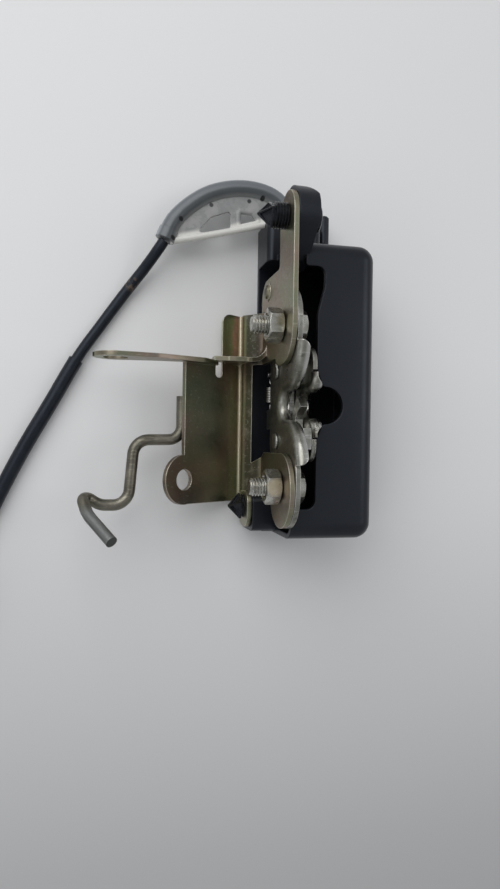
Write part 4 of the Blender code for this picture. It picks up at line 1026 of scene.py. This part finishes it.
# The tube is coloured across its width: lighter at both rims, a painted highlight that stands in for light
# passing through the nylon, and darker over its inner half.
tone = smoke.ramp(side * 0.5 + 0.5 + (mist - 0.5) * 0.08, (0.02, (0.30, 0.32, 0.34)),
                  (0.14, (0.135, 0.150, 0.162)), (0.48, (0.155, 0.168, 0.180)), (0.60, (0.072, 0.080, 0.086)),
                  (0.80, (0.095, 0.104, 0.110)), (0.97, (0.26, 0.27, 0.27)))
tube_skin = smoke.set(Base_Color=smoke.mix(spots, tone, (0.018, 0.019, 0.02)), IOR=1.5,
                      Roughness=smoke.between(mist, 0.28, 0.38),
                      Normal=smoke.bump(mist * 0.5 - spots * 3.0, 0.15, smoke.soft_edges(0.5)))
fit(guide_tube, tube_skin, ["cable_guide"])

crown = [(p.x, p.y) for p in guide_route if p.x < 5 and p.y > 76]
windows = [rounded([(-34.6, 79.0, 1.0), (-27.5, 87.2, 2.5), (-18.5, 90.8, 1.2), (-18.5, 82.6, 1.2)]),
           rounded([(-14.8, 83.6, 1.2), (-14.8, 91.4, 1.2), (-8, 91.0, 2.0), (-4.4, 86.8, 1.2)])]
guide_web = stamping("guide_web", crown + [(5.4, 90.0), (5.4, 87.4), (-2.4, 86.0), (-44, 74.6)], "z",
                     GUIDE_Z - WEB_HALF, GUIDE_Z + WEB_HALF, windows)
for outline in windows:
    work(guide_web, drawn("bead", [(x, y, GUIDE_Z) for x, y in outline], 1.3, 4, True), "UNION")
rib_route = smooth_route([(-46.2, 74.8, GUIDE_Z), (-26, 79.4, GUIDE_Z + 0.3), (-2.4, 86.0, GUIDE_Z),
                          (5.0, 87.9, GUIDE_Z)], 3)
work(guide_web, drawn("rib", rib_route, 1.6, 5), "UNION")
milk = Finish("clear_nylon")
mist = milk.noise(140, 4, 0.6)
round_edge = milk.soft_edges(0.5)
above_rib = milk.fade(milk.axis("Y") - milk.axis("X") * 0.262, 0.0880, 0.0905)
cloudy = milk.ramp(mist, (0.35, (0.24, 0.245, 0.245)), (0.65, (0.34, 0.34, 0.33)))
tone = milk.layered((0.74, 0.73, 0.69), (above_rib, cloudy),
                    (milk.edges(round_edge, 4.0) * 0.5, (0.58, 0.58, 0.56)),
                    (dimples(milk), (0.03, 0.031, 0.032)))
web_skin = milk.set(Base_Color=tone, Roughness=milk.between(mist, 0.22, 0.34), IOR=1.5,
                    Normal=milk.bump(mist, 0.10, round_edge))
fit(guide_web, web_skin)

# The pawl's tension spring: close wound steel wire, hooked over a lug of the base plate and one
# on the pawl's tail. The cable's inner wire pulls the same tail from the other side.
SPRING_X = 1.0
SPRING_Z = 15.5
SPRING_R = 1.5
SPRING_WIRE_R = 0.35
SPRING_LOW = 2.6            # where the close coils start
SPRING_LENGTH = 7.1
TURNS = 9
TURN_STEPS = 16
TAIL_Z = 14.5

coil = []
for k in range(TURN_STEPS * TURNS + 1):
    angle = math.tau * k / TURN_STEPS
    coil.append((SPRING_X + SPRING_R * math.cos(angle), SPRING_LOW + SPRING_LENGTH * k / (TURN_STEPS * TURNS),
                 SPRING_Z + SPRING_R * math.sin(angle)))
hook_low = [(SPRING_X, -0.6, SPRING_Z), (SPRING_X, 1.2, SPRING_Z), (SPRING_X + 0.9, 1.9, SPRING_Z)]
hook_high = [(SPRING_X + 0.8, 10.9, SPRING_Z), (SPRING_X, 11.9, TAIL_Z), (SPRING_X, 13.4, TAIL_Z)]
spring = drawn("tension_spring", hook_low + coil + hook_high, SPRING_WIRE_R, 2)
steel = Finish("spring_steel")
drawing = steel.noise(700, 3, 0.6)
steel_skin = steel.set(Base_Color=steel.between(drawing, (0.34, 0.33, 0.31), (0.55, 0.54, 0.52)),
                       Metallic=1.0, Roughness=steel.between(drawing, 0.28, 0.42),
                       Normal=steel.bump(drawing, 0.02, steel.soft_edges(0.1)))
skin(spring, steel_skin, ["pawl_spring"])
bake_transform(spring)
pull_route = smooth_route([(10.5, 63.3, GUIDE_Z), (9.0, 50, TAIL_Z), (6.0, 36, TAIL_Z), (4.4, 24, TAIL_Z),
                           (4.4, 17.0, TAIL_Z)], 2)
pull_wire = drawn("pull_wire", pull_route, 0.8, 3)
skin(pull_wire, steel_skin, ["release_wire"])
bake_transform(pull_wire)

# The release cable: a steel wire in a 5 mm black jacket, with a thicker sleeve where it passes
# the seat's frame. The part that lies beyond the picture is wound into a coil of three turns.
CABLE_R = 2.5
SLEEVE_R = 3.3
COIL_AT = (-161.0, -88.0)
FIRST_TURN_R = 35.9
COIL_TURN = 920             # degrees that the coil turns through


def ease(share):
    """Rises smoothly from 0 to 1 as the share does."""
    share = min(max(share, 0.0), 1.0)
    return share * share * (3 - 2 * share)


cable_points = [(-49.0, 74.5, GUIDE_Z), (-50.9, 71.4, 11.8), (-53.4, 67.8, 9.8), (-57.4, 62.4, 6.6),
                (-65.6, 51.6, 3.6), (-76.0, 36.6, 2.9), (-86.1, 21.4, 3.4), (-97.4, 0.6, 3.4),
                (-108.0, -18.6, 3.4), (-116.4, -35.4, 3.4), (-122.6, -49.4, 3.4), (-126.2, -62.0, 2.7)]
for turn in range(0, COIL_TURN + 1, 15):
    radius = (FIRST_TURN_R - 5.4 * ease(turn / 50) - 5.0 * ease((turn - 335) / 70)
              + 2.5 * ease((turn - 670) / 60) + 7.9 * ease((turn - 780) / 140))
    height = CABLE_R + 0.2 + 5.2 * ease((turn - 605) / 75)
    if turn > 780:
        height = CABLE_R + 0.1 + math.sqrt(max(0, 5.3 ** 2 - max(0, radius - 30.5) ** 2))
    angle = math.radians(20 - turn)
    cable_points.append((COIL_AT[0] + radius * math.cos(angle), COIL_AT[1] + radius * math.sin(angle),
                         max(height, CABLE_R + 0.2)))
cable_points += [(-196.9, -80.0, 2.7), (-196.9, -72.0, 2.7), (-196.9, -64.0, 2.7)]
cable_route = smooth_route(cable_points, 4)
cable_length = sum((b - a).length for a, b in zip(cable_route, cable_route[1:]))
cable = wire("release_cable", cable_route, CABLE_R, 5)
jacket = Finish("cable_jacket")
polish = jacket.noise(200, 4, 0.6)
smear = jacket.near((-62.5, 55.5, 5.5), 4.2) * jacket.fade(jacket.noise(420, 4, 0.7), 0.46, 0.60)
tone = jacket.between(polish, (0.0055, 0.0068, 0.0100), (0.0110, 0.0125, 0.0165))
jacket_skin = jacket.set(Base_Color=jacket.mix(smear * 0.85, tone, (0.115, 0.082, 0.055)),
                         Specular_IOR_Level=0.35, Specular_Tint=(0.75, 0.85, 1.0),
                         Roughness=jacket.between(polish, 0.30, 0.46),
                         Normal=jacket.bump(polish + smear * 2.0, 0.05, jacket.soft_edges(0.3)))
cable.data.materials.append(jacket_skin)
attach(cable, "lock")
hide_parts("cable_outer", "cable_lead", "cable_coil", "cable_tail")
sleeve_route = [p for p in cable_route if -49.6 < p.y < 22.5 and p.x > -123.5]
sleeve = drawn("cable_wrap", sleeve_route, SLEEVE_R, 6)
fit(sleeve, jacket_skin, ["cable_sleeve"], 50)
dress("cable_end_fitting", steel_skin)
